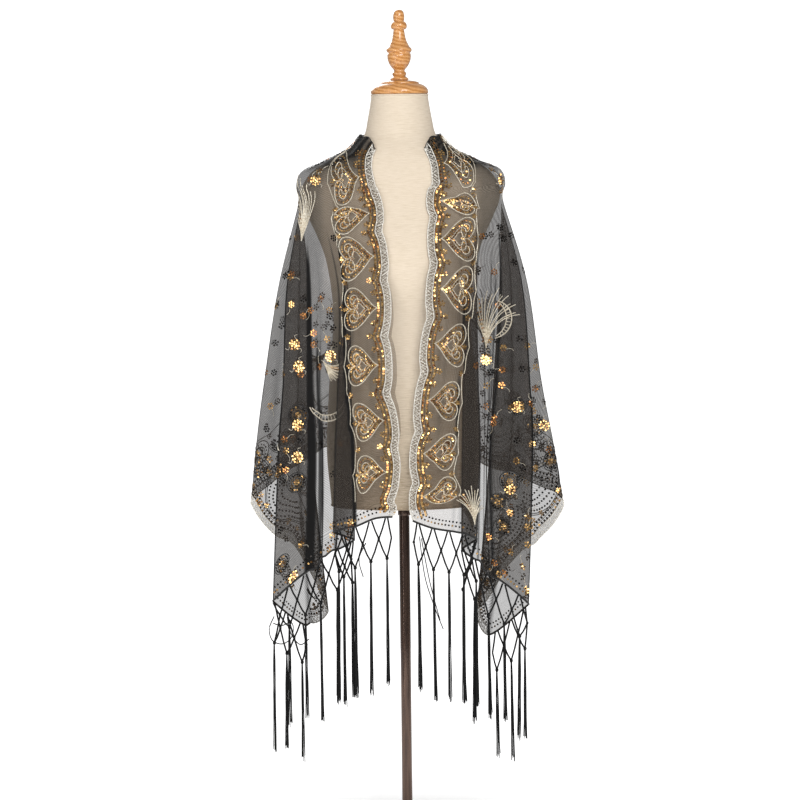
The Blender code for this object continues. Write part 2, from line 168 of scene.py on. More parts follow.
steel = bronzed_steel()
foot = turned("form_foot", ((FOOT_RADIUS - 0.001, 0.0), (FOOT_RADIUS, 0.0012),
                            (FOOT_RADIUS, FOOT_HEIGHT - 0.004), (FOOT_RADIUS - 0.0015, FOOT_HEIGHT - 0.001),
                            (FOOT_RADIUS - 0.004, FOOT_HEIGHT), (FOOT_RADIUS - 0.012, FOOT_HEIGHT),
                            (FOOT_RADIUS - 0.0135, FOOT_HEIGHT - 0.0015),
                            (FOOT_RADIUS - 0.016, FOOT_HEIGHT - 0.0015),
                            (FOOT_RADIUS - 0.0175, FOOT_HEIGHT - 0.0002),
                            (HUB_RADIUS + 0.006, FOOT_HEIGHT - 0.0001)), TURNED_SIDES)
dress(foot, steel, "metal", "form_base")

# Pole
# A plain steel tube of 22 mm, lacquered like the foot, with a turned collar that screws it down.
# It reaches from the foot's hub to the underside of the torso.
POLE_LOW, POLE_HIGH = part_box("form_pole")
POLE_RADIUS = POLE_HIGH.x
COLLAR_HEIGHT = 0.016
collar_top = POLE_LOW.z + COLLAR_HEIGHT
pole = turned("form_tube", ((HUB_RADIUS, POLE_LOW.z), (HUB_RADIUS + 0.002, POLE_LOW.z + 0.0015),
                            (HUB_RADIUS + 0.002, collar_top - 0.007), (HUB_RADIUS, collar_top - 0.005),
                            (POLE_RADIUS + 0.003, collar_top - 0.002), (POLE_RADIUS + 0.001, collar_top),
                            (POLE_RADIUS, collar_top + 0.001), (POLE_RADIUS, 0.35),
                            (POLE_RADIUS, POLE_HIGH.z - 0.022), (POLE_RADIUS + 0.0016, POLE_HIGH.z - 0.021),
                            (POLE_RADIUS + 0.0022, POLE_HIGH.z - 0.018),
                            (POLE_RADIUS + 0.0022, POLE_HIGH.z - 0.003),
                            (POLE_RADIUS + 0.0014, POLE_HIGH.z)), TURNED_SIDES)
dress(pole, steel, "metal", "form_pole")

# Torso of the dress form
# A moulded shell with firm padding, covered in cream linen that is drawn smooth over it.
# Piping is sewn round the neck and the lower edge, where the cover is gathered under.
TORSO_BOTTOM_Z = 0.689
TORSO_TOP_Z = 1.529
#         height  half width  front  back
TORSO = ((TORSO_BOTTOM_Z, 0.149, 0.106, 0.110),
         (0.800, 0.157, 0.114, 0.120),
         (0.945, 0.150, 0.106, 0.105),
         (1.070, 0.140, 0.100, 0.090),
         (1.144, 0.145, 0.116, 0.098),
         (1.198, 0.155, 0.124, 0.104),
         (1.239, 0.170, 0.118, 0.106),
         (1.284, 0.190, 0.106, 0.104),
         (1.315, 0.202, 0.098, 0.100),
         (1.345, 0.200, 0.092, 0.095),
         (1.374, 0.180, 0.086, 0.090),
         (1.397, 0.145, 0.080, 0.084),
         (1.415, 0.106, 0.074, 0.078),
         (1.444, 0.0745, 0.062, 0.066),
         (1.480, 0.0650, 0.058, 0.061),
         (TORSO_TOP_Z, 0.0575, 0.056, 0.058))
TORSO_SIDES = 128
TORSO_RISE = 0.006       # height of a row of faces
PIPING_RADIUS = 0.0016
PIPING_SIDES = 8


def through(points, place):
    """A point on the smooth curve that passes through the given points, at a place from 0."""
    last = len(points) - 1
    step = min(int(place), last - 1)
    part = place - step
    before = points[max(step - 1, 0)]
    start = points[step]
    end = points[step + 1]
    after = points[min(step + 2, last)]
    values = []
    for a, b, c, d in zip(before, start, end, after):
        bend = 2 * a - 5 * b + 4 * c - d
        twist = 3 * b - a - 3 * c + d
        values.append(b + 0.5 * part * (c - a + part * (bend + part * twist)))
    return values


def torso_section(height):
    """Half width, front depth and back depth of the torso at a height."""
    for index in range(len(TORSO) - 1):
        if height <= TORSO[index + 1][0]:
            break
    low = TORSO[index][0]
    high = TORSO[index + 1][0]
    part = max(0.0, (height - low) / (high - low))
    return through([row[1:] for row in TORSO], index + part)


def torso_point(degrees, height):
    """A point of the torso's surface. Degrees run from the front towards +X."""
    half_width, front, back = torso_section(height)
    turn = math.radians(degrees)
    depth = front if math.cos(turn) > 0 else back
    return Vector((half_width * math.sin(turn), -depth * math.cos(turn), height))


def mesh_piece(name, points, faces, sharp=60):
    """A new piece from its points and faces, shaded smooth but for its sharp edges."""
    mesh = bpy.data.meshes.new(name)
    mesh.from_pydata([tuple(point) for point in points], [], faces)
    mesh.validate()
    piece = bpy.data.objects.new(name, mesh)
    bpy.context.scene.collection.objects.link(piece)
    mesh.shade_smooth()
    mesh.set_sharp_from_angle(angle=math.radians(sharp))
    return piece


def rings_mesh(rings):
    """Points and faces of a closed skin through rings of points, given from the bottom up."""
    count = len(rings[0])
    points = [point for ring in rings for point in ring]
    faces = [list(reversed(range(count)))]
    for ring in range(len(rings) - 1):
        for side in range(count):
            after = (side + 1) % count
            low = ring * count
            faces.append([low + side, low + after, low + count + after, low + count + side])
    faces.append([(len(rings) - 1) * count + side for side in range(count)])
    return points, faces


def linen():
    """Plain linen, woven: matt cream with slubs, darkened towards the hip with painted shade."""
    cloth = finish("cream_plain_woven_linen", Roughness=0.88, Sheen_Weight=0.06, Sheen_Roughness=0.5,
                   Specular_IOR_Level=0.25)
    place = add_node(cloth, "ShaderNodeTexCoord", {}).outputs["Object"]
    # threads taken to be 0.5 mm apart are drawn 2 mm apart, so that they show
    threads = []
    for direction in ("X", "Z"):
        wave = add_node(cloth, "ShaderNodeTexWave",
                        {"bands_direction": direction, "Vector": place, "Scale": 160.0,
                         "Distortion": 2.5, "Detail": 2.0, "Detail Scale": 3.0})
        threads.append(wave.outputs["Fac"])
    weave = add_node(cloth, "ShaderNodeMath", {"operation": "MULTIPLY", 0: threads[0], 1: threads[1]})
    stretch = add_node(cloth, "ShaderNodeMapping", {"Vector": place, "Scale": (60.0, 60.0, 900.0)})
    slub = add_node(cloth, "ShaderNodeTexNoise", {"Vector": stretch.outputs["Vector"], "Scale": 1.0,
                                                  "Detail": 3.0})
    mixed = add_node(cloth, "ShaderNodeMath", {"operation": "MULTIPLY_ADD", 0: weave.outputs[0], 1: 0.35,
                                               2: slub.outputs["Fac"]})
    # painted shade: the linen is darker towards the hip, where less light falls on the lower torso
    height = add_node(cloth, "ShaderNodeSeparateXYZ", {"Vector": place})
    painted_hip_shade = add_node(cloth, "ShaderNodeMapRange", {"Value": height.outputs["Z"], "From Min": 0.70,
                                                  "From Max": 1.02, "To Min": 0.40, "To Max": 0.0})
    tone = add_node(cloth, "ShaderNodeMath", {"operation": "SUBTRACT", 0: mixed.outputs[0],
                                              1: painted_hip_shade.outputs["Result"]})
    add_node(cloth, "ShaderNodeValToRGB", {"Fac": tone.outputs[0],
                                           "stops": ((0.0, "#9A8770"), (0.3, "#CDBDA6"),
                                                     (0.75, "#DED0BD"))}, "Base Color")
    add_node(cloth, "ShaderNodeBump", {"Height": mixed.outputs[0], "Strength": 0.22,
                                       "Distance": 0.0005}, "Normal")
    return cloth


linen_cover = linen()
level_count = round((TORSO_TOP_Z - TORSO_BOTTOM_Z) / TORSO_RISE)
torso_levels = [TORSO_BOTTOM_Z + (TORSO_TOP_Z - TORSO_BOTTOM_Z) * step / level_count
                for step in range(level_count + 1)]
torso_rings = [[torso_point(360 * side / TORSO_SIDES, height) for side in range(TORSO_SIDES)]
               for height in torso_levels]
torso = mesh_piece("form_linen_torso", *rings_mesh(torso_rings))
dress(torso, linen_cover, "linen", "form_torso")


def tube(route, radius, sides, closed=False):
    """Points and faces of a tube along a route, with flat ends unless it is closed."""
    points = []
    count = len(route)
    for index, centre in enumerate(route):
        before = route[index - 1] if index or closed else route[0]
        after = route[(index + 1) % count] if index < count - 1 or closed else route[-1]
        ahead = (after - before).normalized()
        across = ahead.cross(Vector((0.13, 0.21, 0.97))).normalized()
        upward = across.cross(ahead)
        width = radius[index] if isinstance(radius, (list, tuple)) else radius
        for side in range(sides):
            turn = 2 * math.pi * side / sides
            points.append(centre + (across * math.cos(turn) + upward * math.sin(turn)) * width)
    faces = []
    for index in range(count if closed else count - 1):
        low = index * sides
        high = (index + 1) % count * sides
        for side in range(sides):
            after = (side + 1) % sides
            faces.append([low + side, low + after, high + after, high + side])
    if not closed:
        faces.append(list(reversed(range(sides))))
        faces.append([(count - 1) * sides + side for side in range(sides)])
    return points, faces


def joined(parts):
    """Points and faces of many shapes as one."""
    points = []
    faces = []
    for part_points, part_faces in parts:
        start = len(points)
        points += part_points
        faces += [[start + index for index in face] for face in part_faces]
    return points, faces


piping_parts = []
for height in (TORSO_TOP_Z - 0.0018, TORSO_BOTTOM_Z + 0.0018):
    route = [torso_point(360 * side / TORSO_SIDES, height) for side in range(TORSO_SIDES)]
    piping_parts.append(tube(route, PIPING_RADIUS, PIPING_SIDES, closed=True))
piping = mesh_piece("form_piping", *joined(piping_parts))
dress(piping, linen_cover, "linen")

# Neck cap
# A turned beech disc with a stepped dome, stained and varnished, which closes the torso's neck.
# It is screwed down over the linen's edge.
CAP_PROFILE = ((0.0560, 1.5293), (0.0580, 1.5306), (0.0586, 1.5330), (0.0584, 1.5356), (0.0574, 1.5386),
               (0.0552, 1.5420), (0.0520, 1.5450), (0.0478, 1.5475), (0.0430, 1.5494), (0.0400, 1.5502),
               (0.0396, 1.5506), (0.0395, 1.5522), (0.0388, 1.5531), (0.0350, 1.5544), (0.0290, 1.5558),
               (0.0220, 1.5566), (0.0150, 1.5570))


def varnished_wood():
    """Turned beech, stained honey brown: grain along the axis, rings on the dome, a clear gloss varnish."""
    wood = finish("varnished_turned_beech", Roughness=0.32, Coat_Weight=0.55, Coat_Roughness=0.12)
    place = add_node(wood, "ShaderNodeTexCoord", {}).outputs["Object"]
    # year rings 4 mm apart, and pores taken to be 0.3 mm wide but drawn 1 mm wide, so that they show
    tilt = add_node(wood, "ShaderNodeMapping", {"Vector": place, "Rotation": (0.2, 1.35, 0.3),
                                                "Location": (0.21, 0.04, 0.0)})
    rings = add_node(wood, "ShaderNodeTexWave", {"wave_type": "RINGS", "rings_direction": "Z",
                                                 "Vector": tilt.outputs["Vector"], "Scale": 42.0,
                                                 "Distortion": 3.5, "Detail": 3.0, "Detail Scale": 1.2})
    stretch = add_node(wood, "ShaderNodeMapping", {"Vector": place, "Scale": (700.0, 700.0, 60.0)})
    pores = add_node(wood, "ShaderNodeTexNoise", {"Vector": stretch.outputs["Vector"], "Scale": 1.0,
                                                  "Detail": 4.0})
    mixed = add_node(wood, "ShaderNodeMath", {"operation": "MULTIPLY_ADD", 0: rings.outputs["Fac"], 1: 0.45,
                                              2: pores.outputs["Fac"]})
    add_node(wood, "ShaderNodeValToRGB", {"Fac": mixed.outputs[0],
                                          "stops": ((0.25, "#9A5B28"), (0.95, "#DDA468"),
                                                    (0.6, "#C4843F"))}, "Base Color")
    add_node(wood, "ShaderNodeBump", {"Height": pores.outputs["Fac"], "Strength": 0.15,
                                      "Distance": 0.0003}, "Normal")
    return wood


beech = varnished_wood()
cap = turned("form_cap_disc", CAP_PROFILE, TURNED_SIDES)
dress(cap, beech, "wood", "form_neck_cap")

# Finial
# Turned from one piece of beech on the lathe: foot, bead, urn with a grooved rim, stem, ring and
# knob. A dowel holds it on the cap.
FINIAL_PROFILE = ((0.0176, 1.5573), (0.0187, 1.5584), (0.0188, 1.5598), (0.0180, 1.5612),
                  (0.0160, 1.5628), (0.0140, 1.5642), (0.0127, 1.5653), (0.0128, 1.5664),
                  (0.0138, 1.5678), (0.0143, 1.5700), (0.0140, 1.5722), (0.0130, 1.5736),
                  (0.0120, 1.5744), (0.0112, 1.5756), (0.0108, 1.5768), (0.0112, 1.5784),
                  (0.0124, 1.5800), (0.0148, 1.5826), (0.0176, 1.5862), (0.0198, 1.5898),
                  (0.0216, 1.5940), (0.0230, 1.5980), (0.0238, 1.6025), (0.0240, 1.6060),
                  (0.0238, 1.6090), (0.0233, 1.6110), (0.0226, 1.6121), (0.0225, 1.6129),
                  (0.0236, 1.6139), (0.0248, 1.6154), (0.0257, 1.6172), (0.0258, 1.6190),
                  (0.0253, 1.6208), (0.0240, 1.6227), (0.0222, 1.6242), (0.0204, 1.6266),
                  (0.0184, 1.6304), (0.0164, 1.6344), (0.0147, 1.6388), (0.0133, 1.6440),
                  (0.0122, 1.6500), (0.0114, 1.6550), (0.0108, 1.6592), (0.0112, 1.6600),
                  (0.0130, 1.6604), (0.0147, 1.6616), (0.0160, 1.6636), (0.0166, 1.6668),
                  (0.0161, 1.6700), (0.0148, 1.6728), (0.0130, 1.6748), (0.0112, 1.6760),
                  (0.0106, 1.6766), (0.0106, 1.6780), (0.0112, 1.6810), (0.0115, 1.6850),
                  (0.0113, 1.6890), (0.0106, 1.6926), (0.0094, 1.6958), (0.0074, 1.6982),
                  (0.0044, 1.6996), (0.0012, 1.7000))
finial = turned("form_turned_finial", FINIAL_PROFILE, TURNED_SIDES)
dress(finial, beech, "wood", "form_finial")

# Net of the stole
# A rectangle of black silk net, taken to be cut 0.60 by 1.90 m, hung round the neck and shoulders.
# Its scalloped long edges run down both openings and round behind; its short ends hang in front.
CLOTH_WALL = 0.0012
FORM_GAP = 0.0013
SCALLOP_PITCH = 0.110    # of the outer long edge
SCALLOP_DEPTH = 0.008
# Heights at which the scallops of the openings meet, from the neck down
LEFT_SCALLOPS = (1.407, 1.334, 1.256, 1.159, 1.045, 0.927, 0.818, 0.710, 0.600)
RIGHT_SCALLOPS = (1.415, 1.351, 1.281, 1.188, 1.081, 0.970, 0.852, 0.750, 0.650)
SCALLOP_EASE = 0.030     # how far in from the edge the cut's pull is felt
NECK_Z = 1.444
ARM_Z = 1.315
CHEST_Z = 1.144
WAIST_Z = 0.945
HIP_Z = 0.802
SHOULDERS = ((NECK_Z, 0.0040), (1.415, 0.0012), (1.397, 0.0), (1.374, 0.0), (1.345, 0.0010),
             (ARM_Z, 0.0030))
HANG_GAP = 0.0032
NECK_DROPS = {"opening": 0.029, "panel": 0.005, "pleat_front": 0.004}
#   fold            neck arm  | out: chest  waist   hip     hem   | forward: chest hem | hem height
LEFT = (
    ("opening",      40, 10.5, 0.0205, 0.0100, 0.0045, 0.0170,  0.128,  0.134, 0.679),
    ("panel",        55, 22.0, 0.0610, 0.0590, 0.0586, 0.0580,  0.130,  0.144, 0.677),
    ("pleat_front",  68, 36.0, 0.0980, 0.1040, 0.1017, 0.0990,  0.119,  0.136, 0.660),
    ("pleat_edge",   74, 44.0, 0.1200, 0.1310, 0.1386, 0.1445,  0.111,  0.125, 0.648),
    ("pleat_return", 78, 49.0, 0.1080, 0.1040, 0.1000, 0.1000,  0.104,  0.113, 0.631),
    ("pleat_back",   82, 54.0, 0.1280, 0.1310, 0.1386, 0.1410,  0.096,  0.101, 0.609),
    ("gap",          87, 62.0, 0.1570, 0.1595, 0.1590, 0.1657,  0.085,  0.093, 0.594),
    ("stack",        92, 70.0, 0.1820, 0.1820, 0.1796, 0.1863,  0.070,  0.090, 0.569),
    ("front_fold",   97, 77.0, 0.2330, 0.2435, 0.2554, 0.2690,  0.052,  0.094, 0.505),
    ("corner",       99, 79.5, 0.2080, 0.2130, 0.2160, 0.1940,  0.035,  0.055, 0.446),
    ("under_fold",  101, 82.0, 0.1880, 0.1880, 0.1878, 0.1580,  0.023,  0.037, 0.478),
    ("inner_wing",  105, 86.0, 0.2150, 0.2330, 0.2400, 0.2360,  0.011,  0.016, 0.612),
    ("side_fold",   110, 92.0, 0.2515, 0.2845, 0.3026, 0.3160, -0.010, -0.010, 0.685),
    ("back_wing",   128, 113., 0.2100, 0.2200, 0.2400, 0.2480, -0.060, -0.066, 0.747),
    ("back_panel",  150, 143., 0.1200, 0.1300, 0.1400, 0.1530, -0.108, -0.128, 0.796),
    ("middle_back", 180, 180., 0.0000, 0.0000, 0.0000, 0.0000, -0.122, -0.142, 0.833))
RIGHT = (
    ("opening",      36, 14.5, 0.0488, 0.0260, 0.0121, 0.0095,  0.127,  0.134, 0.673),
    ("panel",        52, 27.0, 0.0888, 0.0763, 0.0664, 0.0564,  0.126,  0.144, 0.656),
    ("pleat_front",  68, 42.0, 0.1320, 0.1224, 0.1177, 0.1100,  0.105,  0.132, 0.645),
    ("pleat_edge",   74, 50.0, 0.1523, 0.1531, 0.1556, 0.1466,  0.092,  0.120, 0.630),
    ("pleat_return", 78, 54.0, 0.1340, 0.1214, 0.1177, 0.1140,  0.084,  0.108, 0.608),
    ("pleat_back",   82, 59.0, 0.1500, 0.1520, 0.1546, 0.1486,  0.076,  0.096, 0.584),
    ("gap",          87, 65.0, 0.1750, 0.1726, 0.1670, 0.1630,  0.070,  0.089, 0.560),
    ("stack",        92, 71.0, 0.2005, 0.1890, 0.1750, 0.1790,  0.063,  0.087, 0.548),
    ("front_fold",   97, 77.0, 0.2446, 0.2587, 0.2632, 0.2515,  0.048,  0.090, 0.492),
    ("corner",       99, 79.5, 0.2220, 0.2220, 0.2180, 0.1687,  0.032,  0.051, 0.424),
    ("under_fold",  101, 82.0, 0.1995, 0.1850, 0.1760, 0.1500,  0.021,  0.034, 0.474),
    ("inner_wing",  105, 86.0, 0.2280, 0.2300, 0.2386, 0.2550,  0.010,  0.014, 0.600),
    ("side_fold",   110, 92.0, 0.2570, 0.2843, 0.3083, 0.3294, -0.010, -0.010, 0.683),
    ("back_wing",   128, 113., 0.2120, 0.2200, 0.2400, 0.2400, -0.060, -0.066, 0.737),
    ("back_panel",  150, 143., 0.1200, 0.1300, 0.1450, 0.1680, -0.108, -0.124, 0.757),
    ("middle_back", 180, 180., 0.0000, 0.0000, 0.0000, 0.0000, -0.122, -0.142, 0.833))
FIRST_SHARP = 2
LAST_SHARP = 12
CORNER = 9
COLUMN_STEPS = 8         # columns of points from each fold to the next
ROW_STEPS = (8, 6, 5, 5, 6, 16, 18, 12, 20)


def on_torso(degrees, height, lift):
    """A point that stands off the torso's surface by the lift."""
    small = 0.5
    rise = 0.002
    around = torso_point(degrees + small, height) - torso_point(degrees - small, height)
    upward = torso_point(degrees, height + rise) - torso_point(degrees, height - rise)
    return torso_point(degrees, height) + around.cross(upward).normalized() * lift


def clear_of_torso(point, lift):
    """Moves a point of the cloth outwards until it stands off the torso by the lift."""
    if point.z < TORSO_BOTTOM_Z or point.z > ARM_Z:
        return point
    half_width, front, back = torso_section(point.z)
    depth = front if point.y < 0 else back
    reach = math.hypot(point.x / (half_width + lift), point.y / (depth + lift))
    if reach >= 1:
        return point
    return Vector((point.x / reach, point.y / reach, point.z))


def fold_levels(row, side, lift):
    """The points where one fold passes each level, neck to hem. Side is -1 left, 1 right."""
    name, neck, arm, chest_x, waist_x, hip_x, hem_x, chest_y, hem_y, hem_z = row
    points = []
    for height, extra in SHOULDERS:
        if height == NECK_Z:
            height -= NECK_DROPS.get(name, 0)
        ease = math.sqrt((NECK_Z - height) / (NECK_Z - ARM_Z))
        points.append(on_torso(side * (neck + (arm - neck) * ease), height, lift + extra))
    hip_z = max(HIP_Z, (WAIST_Z + hem_z) / 2)
    for out, height in ((chest_x, CHEST_Z), (waist_x, WAIST_Z), (hip_x, hip_z), (hem_x, hem_z)):
        part = (CHEST_Z - height) / (CHEST_Z - hem_z)
        forward = chest_y + (hem_y - chest_y) * part
        points.append(Vector((side * out, -forward, height)))
    return points


def across_folds(points, place):
    """A point between the folds at one level. The cloth turns level round each sharp fold."""
    values = through(points, place)
    from_end = min(place, len(points) - 1 - place)
    if FIRST_SHARP <= from_end < LAST_SHARP:
        step = int(place)
        part = place - step
        ease = part * part * (3 - 2 * part)
        values[2] = points[step].z + (points[step + 1].z - points[step].z) * ease
    return values


cloth_lift = FORM_GAP + CLOTH_WALL / 2
folds = [fold_levels(row, -1, cloth_lift) for row in LEFT]
folds += [fold_levels(row, 1, cloth_lift) for row in reversed(RIGHT[:-1])]
down_places = [index + step / count for index, count in enumerate(ROW_STEPS) for step in range(count)]
down_places.append(len(ROW_STEPS))


def cloth_column(across):
    """The cloth's points from the neck down to the hem, at a place across the folds."""
    levels = [across_folds([fold[level] for fold in folds], across) for level in range(len(folds[0]))]
    rows = [Vector(through(levels, down)) for down in down_places]
    return [clear_of_torso(point, cloth_lift + HANG_GAP) for point in rows]


def lengths_along(line):
    """The length from a line's start to each of its points."""
    steps = np.linalg.norm(np.diff(line, axis=0), axis=1)
    return np.concatenate(([0.0], np.cumsum(steps)))


def valley(lengths, ends):
    """How near a length along a scalloped edge is to a scallop's end: 0 at its middle, 1 at the end."""
    phase = np.interp(lengths, ends, np.arange(len(ends)))
    return (1 - np.abs(np.sin(np.pi * phase))) ** 1.5


def scallop_ends(edge, heights):
    """The lengths down an opening's edge at which its scallops meet."""
    return np.interp([-height for height in heights], -edge[:, 2], lengths_along(edge))


SCALLOPS_BEGIN_Z = 1.40  # the scallops grow to their full depth below this height


def pull_edge(strips, ends):
    """Cuts scallops into an edge: strips run from the edge inwards, one for each point of it."""
    shallow = np.clip((SCALLOPS_BEGIN_Z - strips[:, 0, 2]) / 0.12, 0.3, 1)
    cuts = SCALLOP_DEPTH * valley(lengths_along(strips[:, 0]), ends) * shallow
    for strip, cut in zip(strips, cuts):
        away = lengths_along(strip)
        inward = strip[1] - strip[0]
        inward /= np.linalg.norm(inward)
        ease = np.clip(1 - away / SCALLOP_EASE, 0, 1) ** 2
        strip += inward * (cut * ease)[:, None]


last_fold = len(folds) - 1
across_places = [step / COLUMN_STEPS for step in range(last_fold * COLUMN_STEPS + 1)]
cloth = np.array([[tuple(point) for point in cloth_column(place)] for place in across_places])
corner = CORNER * COLUMN_STEPS
left_ends = scallop_ends(cloth[0], LEFT_SCALLOPS)
right_ends = scallop_ends(cloth[-1], RIGHT_SCALLOPS)
outer_ends = np.arange(30) * SCALLOP_PITCH
pull_edge(cloth.transpose(1, 0, 2), left_ends)
pull_edge(cloth[::-1].transpose(1, 0, 2), right_ends)
pull_edge(cloth[corner:len(cloth) - corner, ::-1], outer_ends)

# Soft creases, as places across the folds at their upper and lower end: ridges stand out, troughs in
#           upper  lower  top z  low z  half width  ridge
CREASES = ((1.55, 1.60, 1.330, 0.700, 0.0050, 0.0022),
           (0.95, 1.12, 1.180, 0.720, 0.0070, -0.0016),
           (1.30, 0.85, 1.060, 0.760, 0.0060, 0.0014),
           (6.40, 6.20, 1.240, 0.640, 0.0060, 0.0024),
           (6.75, 6.70, 1.100, 0.700, 0.0050, -0.0020),
           (7.45, 7.30, 1.260, 0.560, 0.0070, 0.0026),
           (7.70, 7.75, 1.180, 0.700, 0.0060, -0.0022),
           (11.3, 11.4, 1.230, 0.690, 0.0080, 0.0024),
           (12.6, 12.5, 1.300, 0.800, 0.0100, 0.0034),
           (13.2, 13.3, 1.260, 0.850, 0.0120, -0.0030),
           (13.8, 13.9, 1.280, 0.780, 0.0100, 0.0036),
           (14.4, 14.3, 1.200, 0.900, 0.0130, 0.0030),
           (14.8, 14.9, 1.310, 0.840, 0.0110, -0.0024),
           (15.3, 15.5, 1.290, 0.850, 0.0120, 0.0032),
           (15.9, 15.8, 1.180, 0.880, 0.0110, -0.0026),
           (16.4, 16.6, 1.300, 0.800, 0.0120, 0.0036),
           (17.1, 16.9, 1.240, 0.790, 0.0100, 0.0028),
           (17.5, 17.6, 1.200, 0.820, 0.0100, -0.0030),
           (18.8, 18.6, 1.230, 0.680, 0.0080, 0.0024),
           (22.3, 22.4, 1.200, 0.640, 0.0060, -0.0022),
           (22.6, 22.7, 1.260, 0.560, 0.0070, 0.0026),
           (23.4, 23.6, 1.180, 0.640, 0.0060, 0.0022),
           (28.4, 28.3, 1.330, 0.720, 0.0050, 0.0024),
           (28.9, 28.8, 1.150, 0.700, 0.0060, -0.0016),
           (29.2, 28.9, 1.080, 0.760, 0.0070, 0.0014))
# Where the net lies bunched along a fold, denser and darkened by painted shade: places across the folds at
# its upper and lower end, half widths there, how dense and dark, and the height it starts at
SHADED_BUNCHED_FOLDS = ((3.1, 2.0, 0.0010, 0.0042, 1.7, 1.29),
               (3.0, 3.0, 0.0012, 0.0018, 1.0, 1.26),
               (3.5, 3.4, 0.0060, 0.0140, 0.40, 1.16),
               (4.0, 4.0, 0.0015, 0.0030, 0.8, 1.26),
               (5.0, 5.0, 0.0012, 0.0018, 0.8, 1.26),
               (6.7, 6.5, 0.0020, 0.0095, 1.0, 1.06),
               (6.4, 6.12, 0.0008, 0.0014, 1.2, 1.05),
               (7.09, 7.09, 0.0012, 0.0066, 2.4, 1.24),
               (8.0, 8.0, 0.0013, 0.0018, 1.5, 1.31),
               (9.0, 9.0, 0.0012, 0.0018, 0.7, 1.30),
               (10.0, 10.0, 0.0015, 0.0045, 1.5, 1.31),
               (12.0, 12.0, 0.0010, 0.0015, 1.2, 1.33),
               (18.0, 18.0, 0.0010, 0.0015, 1.2, 1.33),
               (20.0, 20.0, 0.0015, 0.0026, 1.5, 1.31),
               (21.0, 21.0, 0.0012, 0.0018, 0.7, 1.30),
               (22.0, 22.0, 0.0013, 0.0020, 1.5, 1.31),
               (23.0, 23.0, 0.0012, 0.0024, 1.0, 1.28),
               (23.45, 23.25, 0.0008, 0.0015, 0.9, 1.25),
               (23.75, 23.85, 0.0008, 0.0013, 0.7, 1.23),
               (24.3, 24.4, 0.0008, 0.0013, 0.8, 1.20),
               (25.0, 25.0, 0.0012, 0.0018, 0.8, 1.26),
               (26.0, 26.0, 0.0015, 0.0034, 1.1, 1.26),
               (26.6, 26.5, 0.0060, 0.0140, 0.50, 1.14),
               (27.0, 27.0, 0.0012, 0.0022, 1.1, 1.26),
               (28.0, 28.3, 0.0010, 0.0024, 1.5, 1.27))
NECK_GATHER = 0.0030     # how far the gathers at the back of the neck stand out
NECK_GATHER_Z = 1.375
FLAT_NET = 0.30          # how much more open the net is made, and how much lighter and browner with painted light, where one layer lies flat on the form
SHOULDER_PUFF = (0.016, 0.014)  # how far the net stands off the right and the left shoulder
SHOULDER_RIPPLE_SHADE = 1.2     # how dense the net is made, and how dark with painted shade, along the small ripples where it lies over the shoulders
TIGHT_RUN = 0.45         # height over which a bunched fold widens to its full width


def surface_normals(points):
    """The outward direction at each point of a grid of cloth."""
    across = np.gradient(points, axis=0)
    down = np.gradient(points, axis=1)
    normals = np.cross(across, down)
    return normals / np.linalg.norm(normals, axis=2)[:, :, None]


